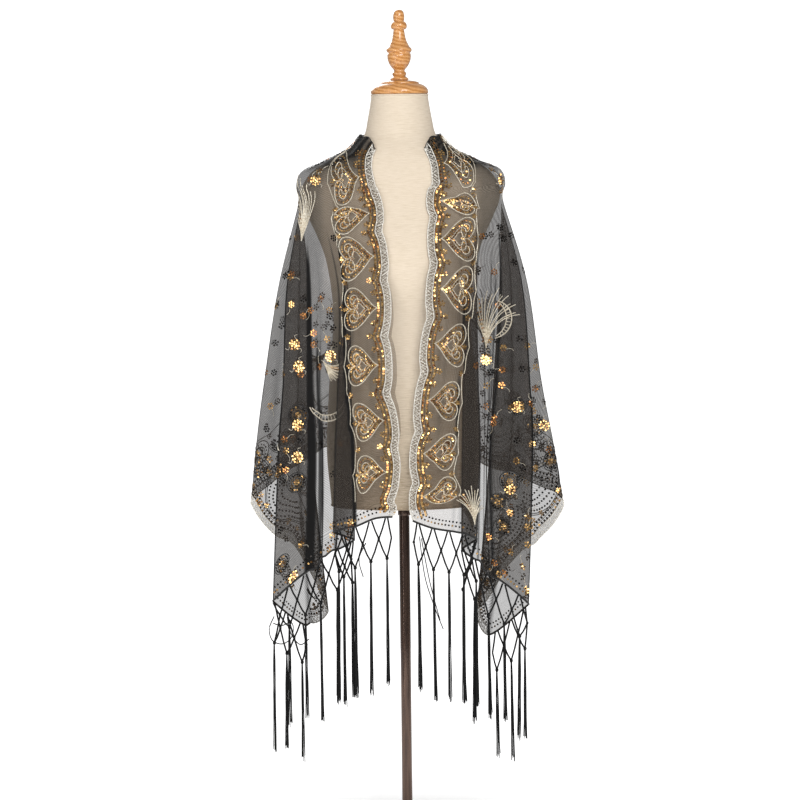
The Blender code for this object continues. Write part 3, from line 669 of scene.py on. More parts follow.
def raise_creases(points):
    """Moves the cloth out or in along each crease; returns how bunched the net is at each point, with
    painted shade in creases, folds and gathers and painted light where it lies flat.
    """
    columns, rows = points.shape[:2]
    across = np.array([lengths_along(points[:, row]) for row in range(rows)]).T
    heights = points[:, :, 2]
    move = np.zeros((columns, rows))
    shade = np.zeros((columns, rows))

    def across_at(places):
        return np.array([np.interp(places[:, row] * COLUMN_STEPS, np.arange(columns), across[:, row])
                         for row in range(rows)]).T

    for upper, lower, top, low, half_width, ridge in CREASES:
        down_part = np.clip((top - heights) / (top - low), 0, 1)
        distance = across - across_at(upper + (lower - upper) * down_part)
        fade = np.sin(np.pi * down_part) ** 0.6
        move += ridge * np.exp(-(distance / half_width) ** 2) * fade
        # painted shade along the middle of each crease
        shade += 0.25 * np.exp(-(distance / (half_width * 0.4)) ** 2) * fade
    # bunched folds: the net is made denser there and darkened with painted shade
    for upper, lower, narrow, wide, density_and_shade, top in SHADED_BUNCHED_FOLDS:
        down_part = np.clip((top - heights) / TIGHT_RUN, 0, 1)
        distance = np.abs(across - across_at(upper + (lower - upper) * down_part))
        half_width = narrow + (wide - narrow) * down_part
        shade += density_and_shade * np.exp(-(distance / half_width) ** 4) * np.clip((top - heights) / 0.06, 0, 1)
    gather = np.clip((heights - NECK_GATHER_Z) / (NECK_Z - NECK_GATHER_Z), 0, 1)
    wave = np.sin(across / 0.0034) * 0.6 + np.sin(across / 0.0051 + 1.3) * 0.4
    move += NECK_GATHER * gather * np.maximum(wave, -0.1)
    # painted shade in the troughs of the gathers at the back of the neck
    shade += 1.5 * gather * np.clip(0.6 - wave * 0.8, 0, 1)
    strips = np.arange(columns)[:, None] / COLUMN_STEPS
    panel = (strips < FIRST_SHARP) | (strips > (columns - 1) / COLUMN_STEPS - FIRST_SHARP)
    near_middle = np.clip((0.165 - np.abs(points[:, :, 0])) / 0.02, 0, 0.6)
    chest = np.clip((heights - 1.08) / 0.08, 0, 1) * near_middle
    # painted light: the net is made more open and painted a lighter brown where one layer lies flat on the
    # form
    shade -= FLAT_NET * np.maximum(panel, chest) * np.clip((1.375 - heights) / 0.03, 0, 1)
    normals = surface_normals(points)
    lying = np.clip((normals[:, :, 2] - 0.55) / 0.35, 0, 1)
    ripple = 0.5 + 0.5 * np.sin(across / 0.0042 + heights * 60)
    # denser net and painted shade along the ripples over the shoulders
    shade += SHOULDER_RIPPLE_SHADE * lying * ripple
    move += 0.0016 * lying * ripple
    side = np.clip((np.abs(points[:, :, 0]) - 0.14) / 0.05, 0, 1)
    stands_off = np.where(points[:, :, 0] > 0, *SHOULDER_PUFF)
    move += stands_off * side * np.exp(-((heights - 1.362) / 0.026) ** 2)
    on_form = np.clip((heights - 1.22) / 0.05, 0, 1)
    move = np.where(move < 0, move * (1 - on_form), move)
    return points + normals * move[:, :, None], shade


cloth, crease_shade = raise_creases(cloth)
net_columns, net_rows = cloth.shape[:2]
net_normals = surface_normals(cloth)
across_lengths = np.array([lengths_along(cloth[:, row]) for row in range(net_rows)]).T
down_lengths = np.array([lengths_along(column) for column in cloth])


def net_mesh():
    """The cloth as one sheet of faces, with its flat lengths as its UV map in metres."""
    points = cloth.reshape(-1, 3)
    faces = []
    for column in range(net_columns - 1):
        for row in range(net_rows - 1):
            low = column * net_rows + row
            faces.append([low, low + net_rows, low + net_rows + 1, low + 1])
    piece = mesh_piece("stole_net", points, faces, sharp=180)
    flat = np.stack((across_lengths, down_lengths), axis=2).reshape(-1, 2)
    layer = piece.data.uv_layers.new(name="flat")
    corners = np.zeros(len(piece.data.loops), int)
    piece.data.loops.foreach_get("vertex_index", corners)
    layer.data.foreach_set("uv", flat[corners].ravel())
    # how bunched the net is, with its painted shade and painted light, kept for the material
    density_and_shade = piece.data.attributes.new("density_and_shade", "FLOAT", "POINT")
    density_and_shade.data.foreach_set("value", crease_shade.ravel())
    return piece


def silk_net():
    """Black silk net: fine crossed threads with open holes, so each layer dims what is behind it."""
    net = finish("black_silk_net", Roughness=0.7, Sheen_Weight=0.04, Specular_IOR_Level=0.15)
    place = add_node(net, "ShaderNodeUVMap", {"uv_map": "flat"}).outputs["UV"]
    # holes taken to be 1 mm wide are drawn 2.6 mm wide, so that they show
    lines = []
    for angle in (0.9, -0.9):
        turn = add_node(net, "ShaderNodeMapping", {"Vector": place, "Rotation": (0.0, 0.0, angle)})
        wave = add_node(net, "ShaderNodeTexWave", {"Vector": turn.outputs["Vector"], "Scale": 120.0,
                                                   "Distortion": 0.6, "Detail": 1.0})
        lines.append(wave.outputs["Fac"])
    mesh = add_node(net, "ShaderNodeMath", {"operation": "MAXIMUM", 0: lines[0], 1: lines[1]})
    patch = add_node(net, "ShaderNodeTexNoise", {"Vector": place, "Scale": 45.0, "Detail": 3.0})
    mixed = add_node(net, "ShaderNodeMath", {"operation": "MULTIPLY_ADD", 0: patch.outputs["Fac"], 1: 0.25,
                                             2: mesh.outputs[0]})
    open_net = add_node(net, "ShaderNodeMapRange", {"Value": mixed.outputs[0], "From Min": 0.2,
                                                    "From Max": 1.1, "To Min": 0.35, "To Max": 0.70})
    # the net is made denser, and its colour darkened with painted shade, in creases, folds and gathers;
    # below zero it is painted a lighter brown, painted light where one layer lies flat on the form
    density_and_shade = add_node(net, "ShaderNodeAttribute", {"attribute_name": "density_and_shade"})
    dark = add_node(net, "ShaderNodeMapRange", {"Value": density_and_shade.outputs["Fac"], "From Min": -0.3,
                                                "From Max": 1.0})
    add_node(net, "ShaderNodeValToRGB", {"Fac": dark.outputs["Result"],
                                         "stops": ((0.0, "#57483B"), (0.24, "#332E2A"),
                                                   (0.92, "#0B0A0A"))}, "Base Color")
    add_node(net, "ShaderNodeMath", {"operation": "MULTIPLY_ADD", "use_clamp": True,
                                     0: density_and_shade.outputs["Fac"], 1: 0.42,
                                     2: open_net.outputs["Result"]}, "Alpha")
    return net


black_net = silk_net()
net = net_mesh()
dress(net, black_net, "net", "stole_front_left", "stole_wing_left", "stole_back",
      "stole_wing_right", "stole_front_right")

# Needlework, laid out on the net
# Chain-stitched threads and cupped sequins, worked by machine on the flat net before it is hung.
# Each line is given by its length along an edge of the net and its distance in from that edge.
SEQUIN_LIFT = 0.0006     # a sequin's middle above the net
SEQUIN_TILT = 0.26       # how far a sequin leans, at most, as a slope
GLINT = np.array((0.147, -0.930, 0.335))  # how a sequin faces that lies flat towards the key light
GLINT_SHARE = 0.018      # share of sequins that begin a short run lying so
SEQUIN_SIDES = 6
SHEAR_LIMIT = 0.35       # least sine of the angle between the net's columns and an edge

work = {"gold": [], "copper": [], "dark": []}
threads = {"champagne": [], "old_gold": [], "lace": [], "black": []}
needle_rng = random.Random(41)


def blend(table, column, row):
    """The value of a grid of the cloth between its points."""
    left = min(int(column), net_columns - 2)
    top = min(int(row), net_rows - 2)
    part = column - left
    drop = row - top
    near = table[left, top] * (1 - drop) + table[left, top + 1] * drop
    far = table[left + 1, top] * (1 - drop) + table[left + 1, top + 1] * drop
    return near * (1 - part) + far * part


def edge_map(strips, to_grid):
    """Finds places on the net from an edge of it: strips run inwards, one for each point of the edge."""
    along_edge = lengths_along(strips[:, 0])
    inward = np.array([lengths_along(strip) for strip in strips])
    edge = np.gradient(strips[:, 0], axis=0)
    edge /= np.linalg.norm(edge, axis=1)[:, None]
    strip = strips[:, 7] - strips[:, 0]
    strip /= np.linalg.norm(strip, axis=1)[:, None]
    lean = np.convolve(np.pad((edge * strip).sum(axis=1), 4, mode="edge"), np.ones(9) / 9, mode="valid")

    def place(length, inset):
        cosine = np.interp(length, along_edge, lean)
        sine = max(math.sqrt(1 - cosine * cosine), SHEAR_LIMIT)
        length -= inset * cosine / sine
        if length < 0 or length > along_edge[-1]:
            return None
        step = np.interp(length, along_edge, np.arange(len(strips)))
        low = min(int(step), len(strips) - 2)
        lengths = inward[low] * (1 - step + low) + inward[low + 1] * (step - low)
        return to_grid(step, np.interp(inset / sine, lengths, np.arange(len(lengths))))

    return place, along_edge[-1]


def field_map(column, row):
    """Finds places on the net by their distances across and down from a middle."""
    def place(across, down):
        left = min(int(column), net_columns - 2)
        lengths = down_lengths[left] * (1 - column + left) + down_lengths[left + 1] * (column - left)
        start = np.interp(row, np.arange(net_rows), lengths)
        new_row = np.interp(start + down, lengths, np.arange(net_rows))
        top = min(int(new_row), net_rows - 2)
        widths = across_lengths[:, top] * (1 - new_row + top) + across_lengths[:, top + 1] * (new_row - top)
        middle = np.interp(column, np.arange(net_columns), widths)
        if start + down > lengths[-1] or start + down < 0 or not 0 < middle + across < widths[-1]:
            return None
        return np.interp(middle + across, widths, np.arange(net_columns)), new_row

    return place


opening_left, opening_length_left = edge_map(cloth.transpose(1, 0, 2), lambda i, j: (j, i))
opening_right, opening_length_right = edge_map(cloth[::-1].transpose(1, 0, 2),
                                               lambda i, j: (net_columns - 1 - j, i))
outer_edge, outer_length = edge_map(cloth[corner:net_columns - corner, ::-1],
                                    lambda i, j: (corner + i, net_rows - 1 - j))
neck_edge, neck_length = edge_map(cloth, lambda i, j: (i, j))
hem_left, hem_length_left = edge_map(cloth[:corner + 1, ::-1], lambda i, j: (i, net_rows - 1 - j))
hem_right, hem_length_right = edge_map(cloth[::-1][:corner + 1, ::-1],
                                       lambda i, j: (net_columns - 1 - i, net_rows - 1 - j))


def sew_thread(kind, place, path, radius):
    """Lays a thread on the net along a path, broken where the path leaves the net."""
    run = []
    for spot in path + [None]:
        grid = place(*spot) if spot else None
        if grid is None:
            if len(run) > 1:
                threads[kind].append((np.array(run), radius))
            run = []
            continue
        run.append(np.concatenate((blend(cloth, *grid), blend(net_normals, *grid))))


def sew_sequin(kind, place, spot, radius, flat=False):
    """Puts one sequin on the net, a little tilted, or flat towards the light where the net faces it."""
    grid = place(*spot)
    if grid is None:
        return
    normal = blend(net_normals, *grid)
    tilt = SEQUIN_TILT
    if flat and normal @ GLINT > 0.6:
        normal = GLINT
        tilt = 0.05
    lean = [needle_rng.uniform(-tilt, tilt) for _ in range(3)]
    own_radius = radius * needle_rng.uniform(0.92, 1.08)
    work[kind].append((blend(cloth, *grid), normal + np.array(lean), own_radius))


def spaced(path, pitch):
    """Points at equal steps along a path."""
    line = np.array(path)
    lengths = lengths_along(line)
    count = max(1, round(lengths[-1] / pitch))
    wanted = np.linspace(0, lengths[-1], count + 1)
    return list(zip(np.interp(wanted, lengths, line[:, 0]), np.interp(wanted, lengths, line[:, 1])))


def sew_row(kind, place, path, radius, pitch, closed=False):
    """A row of sequins along a path. Kind may be several, used in turn by chance."""
    spots = spaced(path, pitch)
    left_flat = 0
    for spot in spots[:-1] if closed else spots:
        if needle_rng.random() < GLINT_SHARE:
            left_flat = needle_rng.choice((1, 2, 3, 5))
        shade = needle_rng.choice(kind) if isinstance(kind, tuple) else kind
        sew_sequin(shade, place, spot, radius, left_flat > 0)
        left_flat -= 1


def moved(path, across, down, turn=0.0, size=1.0):
    """A path turned, scaled and moved to its middle."""
    cosine = math.cos(turn) * size
    sine = math.sin(turn) * size
    return [(across + x * cosine - y * sine, down + x * sine + y * cosine) for x, y in path]


def arc(radius, start, end, steps=16, flat=1.0):
    """An arc round the middle between two angles in degrees, lower than wide where flat is under 1."""
    angles = np.linspace(math.radians(start), math.radians(end), steps)
    return [(radius * math.cos(angle), radius * flat * math.sin(angle)) for angle in angles]


def heart(steps=44):
    """A heart's outline, one unit wide and high, its point towards the edge that it is measured from."""
    path = []
    for step in range(steps + 1):
        angle = 2 * math.pi * step / steps
        wide = math.sin(angle) ** 3 / 2
        high = (13 * math.cos(angle) - 5 * math.cos(2 * angle) - 2 * math.cos(3 * angle)
                - math.cos(4 * angle) + 2.5) / 29
        path.append((wide, high))
    return path


def scroll(side, steps=26):
    """Half a heart that curls into a spiral inside its lobe, in the same unit size."""
    path = heart()[4:23]
    start = (path[0][0] - 0.20, path[0][1] - 0.24)
    reach = math.hypot(*start)
    turn = math.atan2(start[1], start[0])
    curl = []
    for step in range(1, steps + 1):
        part = step / steps
        angle = turn + 2 * math.pi * 1.3 * part
        radius = reach * (1 - 0.82 * part)
        curl.append((0.20 + radius * math.cos(angle), 0.24 + radius * math.sin(angle)))
    return [(side * x, y) for x, y in reversed(path)] + [(side * x, y) for x, y in curl]


def rosette(kind, place, across, down, radius, petals=5, size=0.0020):
    """A small flower of sequins round one sequin, with a ring of thread."""
    turn = needle_rng.uniform(0, 2)
    flat = needle_rng.random() < 0.08
    for petal in range(petals):
        angle = turn + 2 * math.pi * petal / petals
        spot = (across + radius * math.cos(angle), down + radius * math.sin(angle))
        sew_sequin(kind, place, spot, size, flat)
    sew_sequin(kind, place, (across, down), size * 0.9, flat)


def laid(path, along, inset, wide, high):
    """A motif's path, sized along the edge and inwards, at its middle."""
    return [(along + wide * x, inset + high * y) for x, y in path]


def scale_rows(place, along, width):
    """Arcs of dark sequins one inside another, between two dark cords, like fish scales."""
    for radius in (0.30, 0.42, 0.54, 0.66):
        sew_row("dark", place, laid(arc(radius, 200, 340), along, 0.093, width, width), 0.0024, 0.0074)
    for radius in (0.73, 0.77):
        sew_thread("black", place, laid(arc(radius, 195, 345), along, 0.093, width, width), 0.0008)
    rosette("gold", place, along, 0.090, 0.0044)


def border(place, length, start, ends, outline, inner, beads, accents, deep, scales=False):
    """The worked border of a long edge: lace, twin rows, hearts on their sides, rosettes, a wavy line."""
    runs = list(np.arange(start, length, 0.003))

    def scalloped(inset, depth):
        return [(run, inset + depth * valley(run, ends)) for run in runs]

    def stitched(step, near, far, radius):
        spots = [(run, (near if index % 2 else far) + needle_rng.uniform(-0.0008, 0.0008))
                 for index, run in enumerate(np.arange(start, length, step))]
        sew_thread("lace", place, spots, radius)

    apart = 0.0076 if scales else 0.0052
    sew_thread("lace", place, scalloped(0.0008, 0.0), 0.0012)
    sew_thread("lace", place, scalloped(0.0138, 0.001), 0.0010)
    stitched(0.0029, 0.0015, 0.0070, 0.0010)
    stitched(0.0034, 0.0062, 0.0135, 0.0010)
    stitched(0.0051, 0.0030, 0.0110, 0.0009)
    for inset in (0.0182, 0.0262):
        sew_row(beads, place, scalloped(inset, 0.003), 0.0026, apart)
    for inset in (0.0157, 0.0222, 0.0287):
        sew_thread(inner, place, scalloped(inset, 0.003), 0.0007)
    for index, (first, last) in enumerate(zip(ends, ends[1:])):
        middle = (first + last) / 2
        pitch = last - first
        if last > length + 0.015:
            break
        if middle < start or pitch < 0.055:
            continue
        height = deep(middle)
        wide = min(pitch * 0.93, height * 1.3)
        inset = 0.0275 + height / 2
        far = inset + height * 0.56
        wave = [(first + pitch * part, far + 0.006 - 0.012 * abs(2 * part - 1))
                for part in np.linspace(0, 1, 15)]
        sew_thread(outline, place, wave, 0.0008)
        corners = ((-0.5, 0.038), (-0.5, far - 0.010), (-0.27, 0.034), (0.27, 0.034), (0, far - 0.006))
        for share, depth in corners:
            rosette(accents, place, middle + share * pitch, depth, 0.0042, size=0.0021)
        if scales and index % 3:
            scale_rows(place, middle, pitch * 0.8)
            continue
        for size in (0.84, 0.60, 0.38):
            ring = laid(heart(), middle, inset, wide * (size - 0.11), height * (size - 0.11))
            sew_thread(outline if size < 0.7 else inner, place, ring, 0.0007)
            ring = laid(heart(), middle, inset, wide * size, height * size)
            sew_row(beads, place, ring, 0.0021, apart, True)
        for side in (-1, 1):
            sew_thread(outline, place, laid(scroll(side), middle, inset, wide, height), 0.0010)
            curl = laid(scroll(side)[19:], middle, inset, wide * 0.9, height * 0.94)
            sew_row(beads, place, curl, 0.0019, 0.0048)


def left_place(length, inset):
    """The left border is sewn further in halfway down, where a strip of plain net shows beyond the lace."""
    drop = np.interp(length, left_ends[3:7], (0, 0.7, 1, 0))
    return opening_left(length, inset + PLAIN_STRIP * drop)


def deep_left(length):
    """The hearts of the left border are shallower low down, where the pleat closes on them."""
    return np.interp(length, left_ends[:7], (0.052, 0.070, 0.074, 0.072, 0.066, 0.060, 0.062))


def deep_right(length):
    """The hearts of the right border are shallow at the neck and deepest from chest to waist."""
    return np.interp(length, right_ends[:6], (0.052, 0.072, 0.074, 0.074, 0.070, 0.064))


PLAIN_STRIP = 0.010      # how wide the strip of plain net beyond the left lace grows
BORDER_START = 0.004     # length down from the neck at which the borders of the openings begin
mixed = ("gold", "gold", "gold", "copper")
border(left_place, opening_length_left, BORDER_START, left_ends, "champagne", "old_gold", mixed, "gold",
       deep_left)
border(opening_right, opening_length_right, BORDER_START, right_ends, "champagne", "old_gold", mixed, "gold",
       deep_right)
# mostly dark sequins, near black with painted shade, for the outer border's metal sequins seen against the
# light
dusk = ("dark", "dark", "dark", "gold")
border(outer_edge, outer_length, 0.0, outer_ends, "black", "old_gold", dusk, "gold", lambda length: 0.072,
       scales=True)


def hem(place, length):
    """The corded short end: a black cord and a sparse dotted row above it."""
    steps = int(length / 0.003)
    line = [(length * step / steps, 0.0009) for step in range(steps + 1)]
    sew_thread("black", place, line, 0.0021)
    sew_row(("dark", "gold"), place, [(run, 0.012) for run, _ in line], 0.0022, 0.0075)
    sew_row("dark", place, [(run, 0.020) for run, _ in line], 0.0022, 0.0075)


hem(hem_left, hem_length_left)
hem(hem_right, hem_length_right)
collar_line = [(neck_length * step / 200, 0.0010) for step in range(201)]
sew_thread("black", neck_edge, collar_line, 0.0010)


def flower(place, across, down, size, kinds):
    """A flower of two rings of sequins with a few leaves of thread."""
    sew_sequin(kinds, place, (across, down), 0.0024, True)
    for ring, count in ((0.52, 6), (1.0, 10)):
        for petal in range(count):
            angle = 2 * math.pi * petal / count + ring
            spot = (across + size * ring * math.cos(angle), down + size * ring * math.sin(angle))
            sew_sequin(kinds, place, spot, 0.0025, needle_rng.random() < 0.8)
    for turn in (0.4, 2.3, 4.4):
        leaf = [(size * (1.2 + 0.9 * part), size * 0.5 * math.sin(math.pi * part)) for part in
                np.linspace(0, 1, 7)]
        sew_thread("champagne", place, moved(leaf, across, down, turn), 0.0005)


def cluster(place, across, down, kind):
    """A sprig of five or six sequins with a stalk."""
    rosette(kind, place, across, down, 0.0052, needle_rng.choice((5, 6)), 0.0023)
    if kind == "dark":
        return
    turn = needle_rng.uniform(0, 6)
    stalk = [(0.006 + 0.016 * part, 0.005 * math.sin(2.4 * part)) for part in np.linspace(0, 1, 7)]
    sew_thread("champagne", place, moved(stalk, across, down, turn), 0.0004)


def plume(place, length, turn, bend):
    """A spray of long curved strands from one stalk, with copper sequins up one side."""
    for strand in range(-6, 7):
        reach = length * (1 - 0.035 * abs(strand)) * (0.92 if strand % 2 else 1.0)
        lean = 0.050 * strand
        path = []
        for part in np.linspace(0, 1, 12):
            angle = lean * (0.4 + 1.6 * part) + bend * part * part
            path.append((reach * part * math.cos(angle), reach * part * math.sin(angle)))
        sew_thread("champagne", place, moved(path, 0, 0, turn), 0.0009)
    for strand in (3.5, 5.0):
        for step in range(3, 13):
            part = step / 15
            angle = 0.050 * strand * (0.4 + 1.6 * part) + bend * part * part
            spot = (length * part * math.cos(angle), length * part * math.sin(angle))
            sew_sequin(("gold", "copper")[step % 2], place, moved([spot], 0, 0, turn)[0], 0.0021)


def medallion(place, radius):
    """A round medallion: a gold flower in a dotted ring between two fine cords."""
    for share, kind in ((1.0, "black"), (0.55, "old_gold")):
        sew_thread(kind, place, arc(radius * share, 0, 360, 30), 0.0009)
    sew_row(("dark", "dark", "gold"), place, arc(radius * 0.78, 0, 360, 30), 0.0021, 0.0052, True)
    rosette("gold", place, 0, 0, 0.0046, 6, 0.0021)


def crescent(place, radius, turn):
    """A crescent of two arcs with rungs between, in champagne thread."""
    outer = arc(radius, 10, 170)
    inner = moved(arc(radius * 1.05, 32, 148), 0, -radius * 0.34)
    for path in (outer, inner):
        sew_thread("champagne", place, moved(path, 0, 0, turn), 0.0011)
    for step in range(2, 14):
        rung = [outer[step], inner[step]]
        sew_thread("champagne", place, moved(rung, 0, 0, turn), 0.0006)


net_tree = BVHTree.FromPolygons([tuple(point) for point in cloth.reshape(-1, 3)],
                                [tuple(face.vertices) for face in net.data.polygons])
SIGHT_SLOPE = math.radians(4.4)  # the photograph is taken from slightly above


def seen_at(x, z, front=True):
    """The place on the net that shows at a point of the front or back view, at the form's middle plane."""
    ahead = 1 if front else -1
    sight = Vector((0, ahead * math.cos(SIGHT_SLOPE), -math.sin(SIGHT_SLOPE)))
    hit = net_tree.ray_cast(Vector((x, 0, z)) - sight, sight)
    if hit[0] is None:
        return None
    column, row = divmod(hit[2], net_rows - 1)
    return field_map(column + 0.5, row + 0.5)


# Sprays of the field: what is sewn, and where it shows from the front (out to the right, height)
SPRAYS = (("plume", -0.203, 1.235, 0.140, -1.66, 0.30), ("plume", 0.168, 1.003, 0.125, -1.60, -0.2),
          ("plume", 0.141, 0.652, 0.078, -1.42, 0.0), ("plume", -0.160, 0.985, 0.055, 2.30, 0.3),
          ("plume", -0.252, 0.800, 0.060, -0.9, 0.5), ("crescent", -0.156, 0.905, 0.042, 0.2),
          ("crescent", 0.186, 1.064, 0.038, 1.5), ("medallion", -0.247, 0.570, 0.018),
          ("medallion", 0.206, 0.640, 0.016), ("flower", -0.230, 0.545), ("gold", -0.146, 1.090),
          ("copper", 0.170, 0.622), ("gold", 0.213, 0.590), ("copper", 0.180, 0.577),
          ("gold", 0.252, 0.600), ("gold", 0.242, 0.562), ("gold", 0.189, 0.546),
          ("copper", 0.203, 0.550), ("gold", 0.248, 0.518), ("gold", 0.166, 0.534),
          ("gold", 0.252, 0.648), ("gold", 0.217, 0.676), ("gold", 0.216, 0.886),
          ("copper", 0.182, 0.861), ("gold", 0.232, 0.776), ("gold", -0.205, 0.622),
          ("gold", -0.300, 0.700), ("gold", -0.146, 0.650), ("gold", -0.110, 0.662),
          ("gold", -0.152, 0.606), ("copper", -0.112, 0.648), ("copper", -0.238, 0.771),
          ("gold", -0.279, 0.760), ("gold", 0.186, 1.372), ("gold", 0.204, 1.332),
          ("dark", -0.140, 1.384), ("gold", -0.165, 1.370), ("copper", -0.182, 1.358),
          ("dark", -0.122, 1.392), ("dark", 0.150, 1.385), ("dark", 0.120, 1.394),
          ("medallion", 0.268, 0.842, 0.020), ("medallion", 0.213, 0.742, 0.021),
          ("medallion", 0.232, 0.892, 0.017), ("medallion", -0.212, 0.878, 0.021),
          ("medallion", -0.255, 0.762, 0.017), ("medallion", 0.300, 0.775, 0.017),
          ("medallion", -0.212, 0.742, 0.020), ("medallion", 0.190, 0.700, 0.016),
          ("flower", 0.205, 1.350), ("flower", 0.214, 1.315), ("flower", -0.172, 1.352),
          ("flower", -0.218, 1.023), ("flower", -0.210, 0.976), ("flower", -0.147, 0.997),
          ("flower", -0.218, 0.855), ("flower", -0.219, 0.792), ("flower", 0.169, 0.987),
          ("flower", 0.229, 0.890), ("flower", 0.286, 0.851), ("flower", 0.221, 0.720),
          ("dark", -0.239, 1.157), ("gold", -0.225, 1.153), ("dark", -0.254, 1.110),
          ("dark", -0.248, 1.064), ("dark", -0.261, 1.023), ("gold", -0.223, 1.099),
          ("dark", -0.199, 1.116), ("copper", -0.203, 1.073), ("copper", -0.164, 1.114),
          ("dark", -0.146, 1.079), ("dark", -0.140, 1.058), ("copper", -0.182, 1.093),
          ("copper", -0.179, 1.048), ("copper", -0.181, 1.015), ("dark", -0.158, 1.048),
          ("gold", -0.150, 1.034), ("dark", -0.138, 1.023), ("copper", -0.169, 0.974),
          ("gold", -0.241, 0.808), ("dark", -0.282, 0.845), ("dark", -0.167, 0.823),
          ("dark", -0.266, 0.814), ("gold", -0.278, 0.784), ("dark", -0.283, 0.759),
          ("dark", 0.201, 1.255), ("dark", 0.206, 1.226), ("gold", 0.224, 1.308), ("dark", 0.229, 1.188),
          ("gold", 0.204, 1.011), ("copper", 0.202, 0.968), ("dark", 0.242, 0.966),
          ("copper", 0.148, 0.972), ("gold", 0.170, 0.939), ("copper", 0.201, 0.929),
          ("gold", 0.257, 1.011), ("gold", 0.275, 0.974), ("copper", 0.273, 0.929),
          ("gold", 0.266, 0.884), ("dark", 0.172, 0.900), ("copper", 0.182, 0.853),
          ("dark", 0.235, 0.823), ("gold", 0.267, 0.808), ("copper", 0.302, 0.798),
          ("gold", 0.267, 0.765), ("dark", 0.236, 0.771), ("copper", 0.213, 0.679),
          ("gold", 0.253, 0.665))
# More sprays, which only the back has. It also repeats those of the front, where the net reaches
BACK_SPRAYS = (("plume", -0.065, 0.985, 0.130, -1.20, 0.35),
               ("plume", 0.070, 1.080, 0.130, -1.90, -0.35), ("crescent", -0.020, 1.165, 0.040, 0.3),
               ("crescent", 0.020, 0.960, 0.036, 2.6), ("medallion", 0.000, 1.060, 0.022),
               ("medallion", -0.120, 1.130, 0.018), ("medallion", 0.125, 0.985, 0.018),
               ("flower", -0.045, 1.235), ("flower", 0.060, 1.215), ("flower", -0.100, 1.040),
               ("flower", 0.030, 1.010), ("flower", 0.105, 1.130), ("gold", -0.075, 1.200),
               ("copper", 0.020, 1.240), ("dark", 0.095, 1.250), ("gold", 0.135, 1.200),
               ("dark", -0.130, 1.220), ("copper", -0.145, 1.000), ("gold", 0.000, 1.120),
               ("dark", 0.045, 1.150), ("gold", -0.035, 1.000), ("copper", 0.150, 1.060),
               ("dark", -0.090, 1.270), ("gold", -0.010, 1.290))
for front, kind, x, z, *shape in ([(True, *spray) for spray in SPRAYS]
                                  + [(False, *spray) for spray in SPRAYS + BACK_SPRAYS]):
    place = seen_at(x, z, front)
    if place is None:
        continue
    if kind == "plume":
        plume(place, *shape)
    elif kind == "medallion":
        medallion(place, *shape)
    elif kind == "crescent":
        crescent(place, *shape)
    elif kind == "flower":
        flower(place, 0, 0, 0.010, "gold")
    else:
        cluster(place, 0, 0, kind)

# Sprigs in loose rows all over the field between the borders
FIELD_TOP_Z = 1.28
FIELD_INSET = 0.125      # of the sprigs from the outer edge and the short ends
for column in range(4 * COLUMN_STEPS, net_columns - 4 * COLUMN_STEPS, 3):
    for row in range(20, net_rows, 6):
        if needle_rng.random() > (0.32 if cloth[column, row, 1] > 0 else 0.16):
            continue
        inset = down_lengths[column, -1] - down_lengths[column, row]
        if inset < FIELD_INSET or cloth[column, row, 2] > FIELD_TOP_Z:
            continue
        place = field_map(column, row)
        cluster(place, 0, 0, needle_rng.choice(("dark", "copper", "gold", "dark")))

# A line of sprigs over the top of each shoulder, from neck to arm
for column in (8 * COLUMN_STEPS, net_columns - 1 - 8 * COLUMN_STEPS):
    for row in range(2, 20):
        kind = needle_rng.choice(("dark", "dark", "gold", "copper"))
        rosette(kind, field_map(column + needle_rng.choice((-4, 0, 3)), row), 0, 0, 0.0050, 5, 0.0024)


def sequin_mesh(name, items):
    """All sequins of one colour: closed cups of six facets, each facing its own way."""
    turns = np.arange(SEQUIN_SIDES) * 2 * np.pi / SEQUIN_SIDES
    centres = np.array([item[0] for item in items])
    normals = np.array([item[1] for item in items])
    radii = np.array([item[2] for item in items])[:, None, None]
    normals /= np.linalg.norm(normals, axis=1)[:, None]
    across = np.cross(normals, np.array([0.3, 0.2, 0.93]))
    across /= np.linalg.norm(across, axis=1)[:, None]
    upward = np.cross(normals, across)
    rim = across[:, None] * np.cos(turns)[None, :, None] + upward[:, None] * np.sin(turns)[None, :, None]
    middle = centres + normals * SEQUIN_LIFT
    cup_front = (middle + normals * 0.00012)[:, None]
    cup_back = (middle - normals * 0.0001)[:, None]
    points = np.concatenate((middle[:, None] + rim * radii,
                             cup_front, cup_back), axis=1)
    count = SEQUIN_SIDES + 2
    faces = []
    for start in range(0, len(items) * count, count):
        for side in range(SEQUIN_SIDES):
            after = (side + 1) % SEQUIN_SIDES
            faces.append([start + side, start + after, start + SEQUIN_SIDES])
            faces.append([start + after, start + side, start + SEQUIN_SIDES + 1])
    return mesh_piece(name, points.reshape(-1, 3), faces, sharp=10)


def thread_mesh(name, items):
    """All threads of one colour: three-sided cords that lie on the net."""
    parts = []
    for run, radius in items:
        line = run[:, :3]
        normals = run[:, 3:]
        ahead = np.gradient(line, axis=0)
        side = np.cross(normals, ahead)
        side /= np.maximum(np.linalg.norm(side, axis=1), 1e-9)[:, None]
        base = line + normals * 0.0001
        ring = np.stack((base - side * radius, base + side * radius, base + normals * radius * 1.3), axis=1)
        count = len(line)
        faces = []
        for step in range(count - 1):
            low = step * 3
            for edge in range(3):
                after = (edge + 1) % 3
                faces.append([low + edge, low + after, low + 3 + after, low + 3 + edge])
        faces.append([2, 1, 0])
        faces.append([count * 3 - 3, count * 3 - 2, count * 3 - 1])
        parts.append(([tuple(point) for point in ring.reshape(-1, 3)], faces))
    return mesh_piece(name, *joined(parts), sharp=50)


